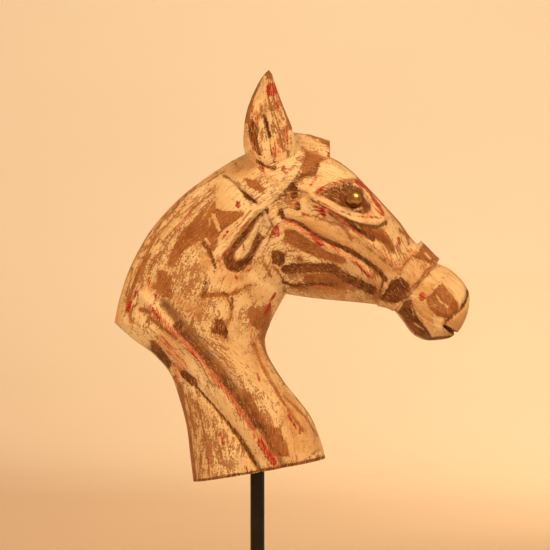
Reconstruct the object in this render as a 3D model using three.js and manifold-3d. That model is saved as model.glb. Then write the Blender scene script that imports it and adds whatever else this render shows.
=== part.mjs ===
// A carved wooden horse's head and neck, held up by a black steel rod on a low black steel plate.
// Millimetres, +Z up. The horse looks along +X, and the XZ plane is its plane of symmetry.
// The origin is on the plate's underside, straight below the rod.
import * as THREE from "three";
import { mergeVertices } from "three/addons/utils/BufferGeometryUtils.js";
import { ParametricGeometry } from "three/addons/geometries/ParametricGeometry.js";
import Module from "manifold-3d";

// ---- Driving dimensions ----
const GAP = 0.3; // clear space kept between two pieces that touch
const PLATE = { length: 180, width: 130, thickness: 8, corner: 5, edge: 1 };
const ROD = { radius: 6, bottom: 3.3, top: 182, sides: 40 };
const NAIL = { radius: 6.8, dome: 5.4, sunk: 1.2, x: 81, z: 350, sides: 20, rings: 4 };
const EAR = { foot: 374, tip: 459.6, spread: 21, splay: 7, sides: 20, rings: 13 };
const FORELOCK = { topHalf: 6, footHalf: 14 };
const NOSEBAND = { from: 20.55, to: 22.1, rise: 4.6, jawRise: 1.2, sideShare: 0.6 };
const HEAD_ROWS = 74;
const HEAD_SIDES = 42;

// ---- The head and neck: a loft of sections from the neck's cut (station 0) to the lips (station 28) ----
// The outer rail runs up the back of the neck, over the crest and down the nose.
const OUTER_RAIL = [
  [-54.4, 112], [-57.2, 135], [-60, 158], [-65.9, 181], [-74, 203], [-88, 219.5], [-105, 231.8],
  [-121.5, 246.4], // the mane's lower corner
  [-116.7, 269], [-107, 296], [-90, 326], [-65, 353], [-36, 375], [-5, 392], [27, 398],
  [61.2, 387.3], [79, 376], [95, 360], [109, 345], [121, 331.7], [130.5, 318.5], [141, 308],
  [151, 298.2], [163.5, 292], [173.5, 282.8], [179, 274], [180.2, 265.5], [178.8, 255.5], [175, 245.5],
];
const MANE_CORNER = 7;
// The inner rail runs up the front of the neck, along the jaw and round the chin.
const INNER_RAIL = [
  [57.8, 131.5], [53.5, 147], [46, 165.5], [36.5, 179], [25, 193], [15, 208], [8.5, 220],
  [6.4, 230], [7.3, 236], [9.5, 242], [12, 248.5], [15.2, 255], [18.5, 261], [21.5, 266.5],
  [24.2, 270.9], // the throat's corner
  [34, 269.2], [47, 267.4], [61, 265.9], [74, 264.7], [86, 263.6], [97, 262.4], [106, 260.8],
  [115, 257.6], [123, 248.6], [131.5, 237.4], [142, 231.8], [154, 231.8], [163, 233.5], [170, 238],
];
const THROAT_CORNER = 14;
const LAST_STATION = OUTER_RAIL.length - 1;
// Each key is [station, value]: half of the thickness, the place of the widest point from the outer
// rail (0) to the inner one (1), and how square the section is at each rail (2 is round).
const HALF_THICKNESS = [
  [0, 43], [2, 39], [5, 34], [8, 32], [11, 33], [13.5, 37], [16, 41.5], [18, 39.5], [20, 30],
  [22, 25.5], [24, 27.5], [28, 27.5],
];
// From one station to the other the thickness closes to nothing, as a superellipse of this power.
const MUZZLE_CLOSES = { from: 24, to: LAST_STATION, power: 2.4 };
const WIDEST_PLACE = [
  [0, 0.5], [4, 0.52], [8, 0.62], [12, 0.5], [15, 0.34], [18, 0.32], [22, 0.5], [28, 0.5],
];
const OUTER_POWER = [[0, 2.6], [4, 2.2], [7, 1.45], [12, 1.7], [15, 2.5], [20, 2.5], [24, 2.3], [28, 2]];
const INNER_POWER = [[0, 2.4], [6, 2.1], [13, 2.1], [16, 1.75], [20, 1.9], [24, 2.3], [28, 2]];

// ---- The larger carving on each side: [rise, half width, path in the XZ plane] ----
const CARVING = [
  [3.6, 12, [[-98, 272], [-79, 248], [-45, 211], [-11, 165], [18, 108]]], // shoulder ridge
  [-4, 15, [[-72, 266], [-50, 236], [-18, 193], [11, 152], [37, 108]]], // valley in front of it
  [-2.4, 12, [[-92, 226], [-62, 206], [-32, 174], [-12, 138], [-4, 104]]], // groove behind it
  [2, 11, [[0, 236], [12, 204], [27, 178], [44, 156], [60, 124]]], // windpipe ridge
  [-3, 11, [[-27, 372], [-15, 360], [0, 347]]], // hollow behind the ear
  [-4.5, 12, [[6, 330], [-6, 315], [-17, 298]]], // hollow behind the jaw
  [2.4, 9, [[15, 322], [7, 306], [4, 290], [16, 276]]], // back edge of the jaw
  [-3, 10, [[36, 332], [54, 322], [75, 308], [98, 288]]], // cheek groove
  [1.8, 9, [[50, 345], [80, 325], [116, 298]]], // cheek strap
];
const EYE_SOCKET = { x: 77, z: 347, long: 35, short: 19, slope: -0.46, depth: 4 };
const EYEBALL = { x: 80, z: 349, long: 19, short: 14, slope: -0.46, depth: -5 };
const MOUTH = { corner: [156.5, 246], end: [184.5, 225], opening: 4, width: 80 };

// ---- Small helpers ----
const wasm = await Module();
wasm.setup();

function material(colour, roughness, metalness) {
  return new THREE.MeshStandardMaterial({ color: colour, roughness, metalness });
}

// A solid from a closed geometry. Only the positions are kept, so shared corners merge, and the
// triangles are turned round if they face inwards.
function solidFrom(geometry) {
  const bare = new THREE.BufferGeometry();
  bare.setAttribute("position", geometry.getAttribute("position"));
  if (geometry.index) bare.setIndex(geometry.index);
  const merged = mergeVertices(bare, 1e-3);
  const corners = merged.index.array;
  const kept = [];
  for (let i = 0; i < corners.length; i += 3) {
    const [a, b, c] = [corners[i], corners[i + 1], corners[i + 2]];
    if (a !== b && b !== c && c !== a) kept.push(a, b, c);
  }
  const vertProperties = merged.getAttribute("position").array;
  const build = (triVerts) => new wasm.Manifold(new wasm.Mesh({ numProp: 3, vertProperties, triVerts }));
  const solid = build(new Uint32Array(kept));
  return solid.volume() > 0 ? solid : build(new Uint32Array(kept.reverse()));
}

function geometryFrom(solid) {
  const mesh = solid.getMesh();
  const geometry = new THREE.BufferGeometry();
  geometry.setAttribute("position", new THREE.BufferAttribute(mesh.vertProperties, 3));
  geometry.setIndex(new THREE.BufferAttribute(mesh.triVerts, 1));
  geometry.computeVertexNormals();
  return geometry;
}

// A value on a smooth curve through keys of [place, value]: a cubic between each two keys, whose
// slope at a key is the slope between its neighbours, or 0 at the key that is a sharp corner.
function valueAt(keys, place, corner) {
  const next = Math.max(1, keys.findIndex(([at]) => at >= place));
  const slope = (k) => {
    if (k === corner) return 0;
    const [before, after] = [keys[Math.max(k - 1, 0)], keys[Math.min(k + 1, keys.length - 1)]];
    return (after[1] - before[1]) / (after[0] - before[0]);
  };
  const [[from, low], [to, high]] = [keys[next - 1], keys[next]];
  const span = to - from;
  const t = (place - from) / span;
  return (
    (2 * t ** 3 - 3 * t ** 2 + 1) * low +
    (t ** 3 - 2 * t ** 2 + t) * span * slope(next - 1) +
    (3 * t ** 2 - 2 * t ** 3) * high +
    (t ** 3 - t ** 2) * span * slope(next)
  );
}

// A point on a rail, whose places are its stations 0, 1, 2 and so on.
function railPoint(rail, corner, station) {
  return [0, 1].map((axis) => valueAt(rail.map((point, k) => [k, point[axis]]), station, corner));
}

// Shortest distance in the XZ plane from (x, z) to a path of straight stretches.
function distanceToPath(x, z, path) {
  const lengths = path.slice(1).map(([bx, bz], k) => {
    const [ax, az] = path[k];
    const [dx, dz] = [bx - ax, bz - az];
    const t = THREE.MathUtils.clamp(((x - ax) * dx + (z - az) * dz) / (dx * dx + dz * dz), 0, 1);
    return Math.hypot(x - ax - t * dx, z - az - t * dz);
  });
  return Math.min(...lengths);
}

// 1 in the middle of a soft bump and 0 from its edge outwards.
function softBump(distance) {
  return distance < 1 ? Math.cos((Math.PI / 2) * distance) ** 2 : 0;
}

// An oval hollow of this depth, or a swelling where the depth is negative.
function ovalBump({ x, z, long, short, slope, depth }, px, pz) {
  const [cos, sin] = [Math.cos(slope), Math.sin(slope)];
  const [dx, dz] = [px - x, pz - z];
  const distance = Math.hypot((dx * cos + dz * sin) / long, (dz * cos - dx * sin) / short);
  return -depth * softBump(distance);
}

// How far the carving stands out of each side at (x, z).
function carvingAt(x, z) {
  const lines = CARVING.map(([rise, half, path]) => rise * softBump(distanceToPath(x, z, path) / half));
  return lines.reduce((sum, rise) => sum + rise, 0) + ovalBump(EYE_SOCKET, x, z) + ovalBump(EYEBALL, x, z);
}

// ---- The head ----
// A point of the head's surface. side runs from 0 to 1 round the section, from the outer rail over
// the right side to the inner rail and back over the left side. The half thickness follows a
// superellipse on each side of its widest place.
function headPoint(station, side) {
  const around = Math.abs(1 - 2 * side);
  const across = (1 - Math.cos(Math.PI * (1 - around))) / 2;
  const hand = side < 0.5 ? -1 : 1;
  const [outerX, outerZ] = railPoint(OUTER_RAIL, MANE_CORNER, station);
  const [innerX, innerZ] = railPoint(INNER_RAIL, THROAT_CORNER, station);
  const widest = valueAt(WIDEST_PLACE, station);
  const [reach, power] =
    across < widest
      ? [(widest - across) / widest, valueAt(OUTER_POWER, station)]
      : [(across - widest) / (1 - widest), valueAt(INNER_POWER, station)];
  const fullness = Math.max(0, 1 - reach ** power) ** (1 / power);
  const x = outerX + (innerX - outerX) * across;
  const z = outerZ + (innerZ - outerZ) * across;
  const { from, to, power: closing } = MUZZLE_CLOSES;
  const closed = Math.max(0, (station - from) / (to - from));
  const thickness = valueAt(HALF_THICKNESS, station) * (1 - closed ** closing) ** (1 / closing);
  const half = thickness * fullness + carvingAt(x, z) * fullness ** 2;
  if (station < NOSEBAND.from || station > NOSEBAND.to) return new THREE.Vector3(x, hand * half, z);
  const rise = THREE.MathUtils.lerp(NOSEBAND.rise, NOSEBAND.jawRise, across);
  const spread = (rise * (1 - 2 * across)) / Math.hypot(innerX - outerX, innerZ - outerZ);
  return new THREE.Vector3(
    x - (innerX - outerX) * spread,
    hand * (half + NOSEBAND.sideShare * rise * fullness),
    z - (innerZ - outerZ) * spread,
  );
}

// The stations of the rows: evenly spaced along the middle of the loft, with a step at the noseband.
function rowStations() {
  const perStation = 40;
  const fine = perStation * LAST_STATION;
  const middle = (station) => {
    const outer = railPoint(OUTER_RAIL, MANE_CORNER, station);
    const inner = railPoint(INNER_RAIL, THROAT_CORNER, station);
    return new THREE.Vector2((outer[0] + inner[0]) / 2, (outer[1] + inner[1]) / 2);
  };
  const travel = [0];
  for (let i = 1; i <= fine; i++) {
    const [a, b] = [(i - 1) / perStation, i / perStation].map(middle);
    travel.push(travel[i - 1] + a.distanceTo(b));
  }
  const rows = [];
  for (let row = 0; row <= HEAD_ROWS; row++) {
    const goal = (travel[fine] * row) / HEAD_ROWS;
    const i = Math.max(1, travel.findIndex((length) => length >= goal - 1e-9));
    const share = (goal - travel[i - 1]) / (travel[i] - travel[i - 1]);
    rows.push(Math.min((i - 1 + share) / perStation, LAST_STATION));
  }
  const step = 0.01;
  for (const edge of [NOSEBAND.from, NOSEBAND.to]) rows.push(edge - step, edge + step);
  return rows.sort((a, b) => a - b);
}

// The first row is the neck's cut folded flat onto the plane of symmetry, which closes the loft.
function headSolid() {
  const rows = rowStations();
  const surface = (side, along, target) => {
    const row = Math.round(along * rows.length);
    const point = headPoint(rows[Math.max(row - 1, 0)], side);
    if (row === 0) point.y = 0;
    target.copy(point);
  };
  return solidFrom(new ParametricGeometry(surface, HEAD_SIDES, rows.length));
}

// ---- The ears: a leaf that leans outwards, hollowed on its outer face ----
const EAR_BACK = [
  [0, 2], [0.2, -10.5], [0.42, -11.2], [0.58, -9.2], [0.72, -5.2], [0.88, 1.4], [0.96, 6], [1, 9.6],
];
const EAR_FRONT = [
  [0, 22], [0.16, 33], [0.42, 29.6], [0.58, 24.2], [0.72, 19.4], [0.88, 14.6], [0.96, 12.4], [1, 9.6],
];
const EAR_HALF = [[0, 4], [0.16, 10], [0.35, 11], [0.6, 8], [0.88, 4.5], [1, 0]];
const EAR_HOLLOW = [[0, 0], [0.12, 3], [0.35, 7.5], [0.7, 4.5], [0.92, 0], [1, 0]];

function earSolid(hand) {
  const surface = (side, along, target) => {
    const row = Math.round(along * (EAR.rings + 1));
    const height = Math.max(row - 1, 0) / EAR.rings;
    const angle = 2 * Math.PI * side;
    const [back, front] = [valueAt(EAR_BACK, height), valueAt(EAR_FRONT, height)];
    const middle = EAR.spread + EAR.splay * height;
    const cap = row === 0 ? 0 : 1;
    const outwards = Math.max(0, Math.sin(angle));
    const hollow = valueAt(EAR_HOLLOW, height) * outwards ** 6;
    const y = middle + cap * (valueAt(EAR_HALF, height) * Math.sin(angle) - hollow);
    target.set((front + back) / 2 + ((front - back) / 2) * Math.cos(angle), hand * y, 0);
    target.z = EAR.foot + (EAR.tip - EAR.foot) * height;
  };
  return solidFrom(new ParametricGeometry(surface, EAR.sides, EAR.rings + 1));
}

// ---- The forelock: a wedge of mane between the ears, cut off square above the brow ----
const FORELOCK_TOP = [[4, 398], [29.8, 408.2], [44.6, 406.3], [61.5, 401]];
const FORELOCK_FOOT = [[4, 376], [29.8, 380], [44.6, 379], [61.5, 374]];

// Its first and last rows are folded onto the plane of symmetry, as the neck's cut is.
function forelockSolid() {
  const { topHalf, footHalf } = FORELOCK;
  const corners = [
    [FORELOCK_TOP, topHalf, 1],
    [FORELOCK_TOP, topHalf, -1],
    [FORELOCK_FOOT, footHalf, -1],
    [FORELOCK_FOOT, footHalf, 1],
  ];
  const count = FORELOCK_TOP.length;
  const surface = (side, along, target) => {
    const row = Math.round(along * (count + 1));
    const k = THREE.MathUtils.clamp(row - 1, 0, count - 1);
    const [path, half, hand] = corners[Math.round(side * 4) % 4];
    const [x, z] = path[k];
    const folded = row === 0 || row === count + 1;
    target.set(x, folded ? 0 : hand * half, z);
  };
  return solidFrom(new ParametricGeometry(surface, 4, count + 1));
}

// ---- The mouth: a wedge cut straight through the lips ----
function mouthSolid() {
  const [corner, end] = [MOUTH.corner, MOUTH.end].map(([x, z]) => new THREE.Vector2(x, -z));
  const along = end.clone().sub(corner).normalize();
  const halfOpening = new THREE.Vector2(-along.y, along.x).multiplyScalar(MOUTH.opening / 2);
  const outline = new THREE.Shape([corner, end.clone().sub(halfOpening), end.clone().add(halfOpening)]);
  const wedge = new THREE.ExtrudeGeometry(outline, { depth: MOUTH.width, bevelEnabled: false });
  return solidFrom(wedge.translate(0, 0, -MOUTH.width / 2).rotateX(-Math.PI / 2));
}

// ---- The eyes: domed brass nails driven into the eyeballs ----
// A nail, or its seat when grow is the gap round it.
function nailGeometry(grow) {
  const [radius, dome, bottom] = [NAIL.radius + grow, NAIL.dome + grow, -NAIL.sunk - grow];
  const profile = [new THREE.Vector2(0, bottom), new THREE.Vector2(radius, bottom)];
  for (let ring = 0; ring < NAIL.rings; ring++) {
    const angle = (Math.PI / 2) * (ring / NAIL.rings);
    profile.push(new THREE.Vector2(radius * Math.cos(angle), dome * Math.sin(angle)));
  }
  profile.push(new THREE.Vector2(0, dome));
  return new THREE.LatheGeometry(profile, NAIL.sides);
}

// How far the eyeball's surface stands from the plane of symmetry, found by stepping over the loft.
function eyeDepth() {
  let [nearest, depth] = [Infinity, 0];
  for (let station = 15; station <= 19; station += 0.02)
    for (let side = 0.02; side < 0.5; side += 0.005) {
      const point = headPoint(station, side);
      const distance = Math.hypot(point.x - NAIL.x, point.z - NAIL.z);
      if (distance < nearest) [nearest, depth] = [distance, -point.y];
    }
  return depth;
}

const eyeSurface = eyeDepth();

// The rim of the dome lies 0.4 under the middle of the eyeball, and its top points outwards.
function nailPlace(hand) {
  const turn = new THREE.Quaternion().setFromEuler(new THREE.Euler(hand < 0 ? Math.PI : 0, 0, 0));
  const place = new THREE.Vector3(NAIL.x, hand * (eyeSurface - 0.4), NAIL.z);
  return new THREE.Matrix4().compose(place, turn, new THREE.Vector3(1, 1, 1));
}

// ---- The rod and the plate ----
// The rod, or the bore it fills when grow is the gap round it.
function rodGeometry(grow) {
  const height = ROD.top - ROD.bottom + 2 * grow;
  return new THREE.CylinderGeometry(ROD.radius + grow, ROD.radius + grow, height, ROD.sides)
    .rotateX(Math.PI / 2)
    .translate(0, 0, ROD.bottom - grow + height / 2);
}

function plateGeometry() {
  const { length, width, thickness, corner, edge } = PLATE;
  const [x, y, r] = [length / 2 - edge, width / 2 - edge, corner - edge];
  const outline = new THREE.Shape();
  outline.moveTo(-x + r, -y);
  outline.absarc(x - r, -y + r, r, -Math.PI / 2, 0);
  outline.absarc(x - r, y - r, r, 0, Math.PI / 2);
  outline.absarc(-x + r, y - r, r, Math.PI / 2, Math.PI);
  outline.absarc(-x + r, -y + r, r, Math.PI, 1.5 * Math.PI);
  return new THREE.ExtrudeGeometry(outline, {
    depth: thickness - 2 * edge,
    bevelThickness: edge,
    bevelSize: edge,
    bevelSegments: 3,
    curveSegments: 6,
  }).translate(0, 0, edge);
}

// ---- The object ----
const paintedWood = material(0xc79a68, 0.75, 0);
const brass = material(0xb8892f, 0.3, 1);
const blackSteel = material(0x141414, 0.45, 0.6);

const sculpture = new THREE.Group();

function addPiece(name, geometry, finish) {
  const piece = new THREE.Mesh(geometry, finish);
  piece.name = name;
  sculpture.add(piece);
  return piece;
}

const HANDS = { right: -1, left: 1 };

let head = headSolid().add(forelockSolid());
for (const hand of Object.values(HANDS)) {
  const seat = solidFrom(nailGeometry(GAP).applyMatrix4(nailPlace(hand)));
  head = head.add(earSolid(hand)).subtract(seat);
}
const bore = solidFrom(rodGeometry(GAP));
addPiece("horse_head", geometryFrom(head.subtract(mouthSolid()).subtract(bore)), paintedWood);

for (const [side, hand] of Object.entries(HANDS)) {
  addPiece(`eye_nail_${side}`, nailGeometry(0), brass).applyMatrix4(nailPlace(hand));
}

addPiece("support_rod", rodGeometry(0), blackSteel);
addPiece("base_plate", geometryFrom(solidFrom(plateGeometry()).subtract(bore)), blackSteel);

export default sculpture;
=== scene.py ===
"""A carved, paint-worn wooden horse's head on a black steel rod and plate, in metres, +Z up.

The horse looks along +X and the XZ plane is its plane of symmetry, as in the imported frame. Lists of
numbers for the carving and the paint are millimetres in that frame, and MM turns them into metres.
"""

import bmesh
import bpy
import numpy as np
from bpy.props import FloatProperty, FloatVectorProperty, IntProperty, PointerProperty
from bpy.types import Operator, Panel, PropertyGroup
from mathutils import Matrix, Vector


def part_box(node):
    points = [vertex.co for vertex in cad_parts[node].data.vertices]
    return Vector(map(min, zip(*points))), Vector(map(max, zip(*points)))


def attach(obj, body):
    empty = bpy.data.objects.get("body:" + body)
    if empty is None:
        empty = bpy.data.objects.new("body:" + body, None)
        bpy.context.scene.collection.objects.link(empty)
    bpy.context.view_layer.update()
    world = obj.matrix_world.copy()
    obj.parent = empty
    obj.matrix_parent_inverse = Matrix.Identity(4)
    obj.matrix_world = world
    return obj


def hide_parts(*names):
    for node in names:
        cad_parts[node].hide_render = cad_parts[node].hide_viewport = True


bl_info = {
    "name": "Carved horse head",
    "version": (1, 0, 0),
    "blender": (4, 5, 0),
    "location": "3D View > Sidebar > Horse",
    "description": "Builds a paint-worn wooden horse's head on a steel stand, piece by piece",
    "category": "Add Mesh",
}

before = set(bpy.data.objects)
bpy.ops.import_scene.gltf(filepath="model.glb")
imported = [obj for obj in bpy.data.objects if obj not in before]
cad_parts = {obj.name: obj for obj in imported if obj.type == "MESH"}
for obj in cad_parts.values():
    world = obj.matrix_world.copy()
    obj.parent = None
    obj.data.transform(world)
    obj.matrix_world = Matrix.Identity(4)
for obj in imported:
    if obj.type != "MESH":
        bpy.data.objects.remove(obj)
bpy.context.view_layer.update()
MM = 0.001
HEAD_LOW, HEAD_HIGH = (np.array(corner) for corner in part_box("horse_head"))

# ---- The head's loft: sections from the neck's cut (station 0) to the lips (station 28) ----
# The outer rail runs up the back of the neck, over the crest and down the nose.
OUTER_RAIL = [
    (-54.4, 112), (-57.2, 135), (-60, 158), (-65.9, 181), (-74, 203), (-88, 219.5), (-105, 231.8),
    (-121.5, 246.4),  # the mane's lower corner
    (-116.7, 269), (-107, 296), (-90, 326), (-65, 353), (-36, 375), (-5, 392), (27, 398),
    (61.2, 387.3), (79, 376), (95, 360), (109, 345), (121, 331.7), (130.5, 318.5), (141, 308),
    (151, 298.2), (163.5, 292), (173.5, 282.8), (179, 274), (180.2, 265.5), (178.8, 255.5), (175, 245.5),
]
MANE_CORNER = 7
# The inner rail runs up the front of the neck, along the jaw and round the chin.
INNER_RAIL = [
    (57.8, 131.5), (53.5, 147), (46, 165.5), (36.5, 179), (25, 193), (15, 208), (8.5, 220),
    (6.4, 230), (7.3, 236), (9.5, 242), (12, 248.5), (15.2, 255), (18.5, 261), (21.5, 266.5),
    (24.2, 270.9),  # the throat's corner
    (34, 269.2), (47, 267.4), (61, 265.9), (74, 264.7), (86, 263.6), (97, 262.4), (106, 260.8),
    (115, 257.6), (123, 248.6), (131.5, 237.4), (142, 231.8), (154, 231.8), (163, 233.5), (170, 238),
]
THROAT_CORNER = 14
# Each key is (station, value): half of the thickness, the place of the widest point from the outer
# rail (0) to the inner one (1), and how square the section is at each rail (2 is round).
HALF_THICKNESS = [
    (0, 43), (2, 39), (5, 34), (8, 32), (11, 33), (13.5, 37), (16, 41.5), (18, 39.5), (20, 30),
    (22, 25.5), (24, 27.5), (28, 27.5),
]
MUZZLE_CLOSES = (24, 28.0, 2.4)  # from this station, to this one, with this squareness
WIDEST_PLACE = [(0, 0.5), (4, 0.52), (8, 0.62), (12, 0.5), (15, 0.34), (18, 0.32), (22, 0.5), (28, 0.5)]
OUTER_POWER = [(0, 2.6), (4, 2.2), (7, 1.45), (12, 1.7), (15, 2.5), (20, 2.5), (24, 2.3), (28, 2)]
INNER_POWER = [(0, 2.4), (6, 2.1), (13, 2.1), (16, 1.75), (20, 1.9), (24, 2.3), (28, 2)]
NOSEBAND = {"from": 20.55, "to": 22.1, "rise": 4.6, "jaw_rise": 1.2, "side_share": 0.6, "edge": 0.035}
HEAD_ROWS = 372
HEAD_COLUMNS = 92  # on each side
CUT_ROWS = 16  # across the neck's cut
LIP_ROWS = 13  # extra rows that crowd towards the lips
LIP_STATIONS = 0.25  # over this much of the last station
LEAST_HALF = 0.4  # the carving leaves at least this share of the half thickness

# ---- Carving on both sides: (rise, half width, path) soft ridges (+) and grooves (-) ----
MANE_STRANDS = [
    [(-97, 298), (-87, 317), (-74, 332), (-62, 345), (-49, 353), (-34, 361)],
    [(-91, 318), (-83, 330), (-70, 344), (-57, 359), (-45, 367), (-30, 376)],
    [(-83, 308), (-73, 321), (-62, 335), (-49, 347), (-36, 356)],
    [(-108, 272), (-103, 288), (-95, 305), (-86, 322)],
]
MANE_CUTS = [
    [(-84, 336), (-76, 338)], [(-63, 357), (-56, 351)], [(-36, 376), (-33, 368)],
    [(-21, 384), (-16, 378)], [(-96, 316), (-90, 311)], [(-74, 347), (-68, 340)],
    [(-107, 289), (-99, 284)],
]
CARVED_LINES = [
    (3.2, 6.5, [(-100, 271), (-79, 248), (-45, 211), (-11, 165), (14, 128), (19, 112)]),  # shoulder ridge
    (-3.8, 9.5, [(-78, 262), (-57, 237), (-39, 216), (-20, 193), (-5, 170), (10, 147), (26, 118)]),
    (-3, 6, [(-90, 225), (-59, 203), (-30, 172), (-6, 138), (6, 116)]),
    (2, 5, [(4, 228), (12, 201), (26, 179), (40, 160), (54, 136)]),  # windpipe
    (-2, 5, [(-4, 226), (4, 198), (18, 174), (32, 154), (44, 132)]),
    (-2.6, 2.6, [(47, 136), (58, 139)]),
    (-3, 3.4, [(-28, 371), (-15, 360), (0, 347)]),  # hollow behind the ear
    (2, 4.5, [(40, 358), (28, 368), (17, 356), (2, 343), (-15, 323), (-31, 301)]),  # strap by the cheek
    (3.4, 4.2, [(3, 334), (-6, 317), (-17, 300)]),  # tongue in the hollow
    (1.6, 3.5, [(20, 336), (9, 317), (-2, 298), (-14, 286)]),
    (-1.6, 7, [(-8, 296), (6, 282), (22, 274)]),
    (1.4, 4, [(40, 357), (50, 375), (61, 386)]),  # browband
    (2.2, 3.4, [(45, 353), (53, 359), (66, 364.5), (79, 367), (88, 364.5), (96, 356), (102, 346),
                (107, 337)]),
    (3, 3.6, [(46, 352), (57, 345), (70, 337.5), (83, 332), (96, 329.5), (104, 331), (108, 336)]),
    (-2.4, 4.5, [(55, 340), (68, 332), (80, 326), (97, 320), (110, 312), (114, 305)]),
    (2, 2.4, [(47, 348), (60, 341), (79, 326), (100, 309), (121, 292)]),  # cheek strap
    (-2.6, 4.6, [(20, 335), (34, 331), (53, 320), (74, 309), (89, 300), (104, 288)]),
    (1.6, 3.6, [(17, 332), (34, 325), (55, 312), (76, 301), (96, 287)]),
    (-2, 4, [(26, 316), (40, 309), (62, 298), (80, 289), (99, 277)]),
    (-1.5, 2.4, [(127, 268), (131, 261), (138, 253), (148, 247), (159, 244)]),  # corner of the lips
    (-2, 2.2, [(159, 249), (171, 257), (176, 265), (178, 273)]),
    (-3.2, 3.4, [(174, 261), (177, 268)]),  # nostril
    (-1.8, 3, [(140, 292), (150, 280), (146, 268)]),
    (1.6, 6, [(142, 262), (156, 256), (166, 250)]),
    (-1.6, 2.2, [(-100, 264), (-107, 258), (-108, 250), (-102, 244)]),  # gouge by the mane's corner
]
CARVED_LINES += [(-1.3, 1.9, path) for path in MANE_STRANDS] + [(-1.4, 1.7, path) for path in MANE_CUTS]
# Hollows with a steep wall: (rise, width of the wall, outline).
CARVED_AREAS = [
    (-4.6, 3, [(7, 339), (0, 341), (-15, 323), (-29, 303), (-26, 292), (-17, 289), (-6, 296),
               (4, 314), (14, 329)]),
    (-0.8, 3, [(-122, 240), (-118, 285), (-103, 318), (-78, 352), (-50, 375), (-20, 395), (0, 400),
               (-18, 372), (-45, 350), (-70, 320), (-86, 295), (-97, 262)]),
]
# Ovals: middle, half sizes along and across, slope in radians, rise.
EYE_SOCKET = {"x": 79, "z": 349, "long": 33, "short": 17, "slope": -0.46, "rise": -4.4}
EYEBALL = {"x": 80, "z": 348.5, "long": 20, "short": 13, "slope": -0.46, "rise": 5}
# The mouth: a slot pressed into each side as deep as MOUTH_WEB, and a notch cut through the lips.
MOUTH_SLOT = [(156.2, 243.6), (158, 245), (162, 243.4), (169.5, 239), (167, 235), (161, 239)]
MOUTH_NOTCH = [(166.5, 239), (186, 236), (182, 226), (168, 232.5)]
MOUTH_WEB = 6
MOUTH_REACH = 40

# ---- The ears and the forelock; the keys run from foot (0) to tip (1) ----
# "round" is what the way round a section measures on the UV map.
EAR = {"foot": 374, "tip": 459.6, "spread": 21, "splay": 7, "rows": 78, "columns": 84, "round": 70}
EAR_MAP_SHIFT = 200  # keeps the grain of the two ears apart
EAR_BACK = [
    (0, 2), (0.2, -10.5), (0.42, -11.2), (0.58, -9.2), (0.72, -5.2), (0.88, 1.4), (0.96, 6), (1, 9.6),
]
EAR_FRONT = [
    (0, 22), (0.16, 33), (0.42, 29.6), (0.58, 24.2), (0.72, 19.4), (0.88, 14.6), (0.96, 12.4), (1, 9.6),
]
EAR_HALF = [(0, 4), (0.16, 10), (0.35, 11), (0.6, 8), (0.88, 4.5), (1, 0)]
EAR_HOLLOW = [(0, 0), (0.12, 3), (0.35, 7.5), (0.7, 4.5), (0.92, 0), (1, 0)]
EAR_LINES = [
    (-2.2, 2.6, [(6, 424), (8, 414), (9, 406), (11, 398), (13, 386)]),
    (-1, 1.5, [(19, 410), (19, 400), (22, 391)]),
    (-1, 1.5, [(25, 412), (24, 400), (25, 391)]),
    (-1, 1.4, [(13, 436), (16, 424), (19, 412)]),
    (-1.1, 1.8, [(1, 436), (-3, 424), (-4, 410), (-2, 396)]),
    (1, 2.4, [(3, 432), (2, 415), (5, 398)]),
]
FORELOCK_TOP = [(4, 398), (29.8, 408.2), (44.6, 406.3), (61.5, 401)]
FORELOCK_FOOT = [(4, 376), (29.8, 380), (44.6, 379), (61.5, 374)]
FORELOCK = {"top_half": 6, "foot_half": 14, "rows": 60, "columns": 64, "square": 0.28, "round": 30}
FORELOCK_STRANDS = {"rise": 0.5, "pitch": 2.6, "lean": 2}

# ---- The stand's and the nails' small sizes ----
CLEARANCE = 0.3  # between the wood and the metal
NAIL_SUNK = 1.2
NAIL_EDGE = 0.3  # bevel of the shank's end
NAIL_DISH = 17  # radius of the wood that swells up to the nail
WOOD_OVER_RIM = 0.4
DOME_ROWS = 18
SEAT_SIDES = 48
ROD_SIDES = 96
ROD_ROWS = 24
ROD_BEVEL = 0.6
# Edges turned by more than this many degrees are shaded sharp.
WOOD_SHARP = 48
BRASS_SHARP = 50
STEEL_SHARP = 40

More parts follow.
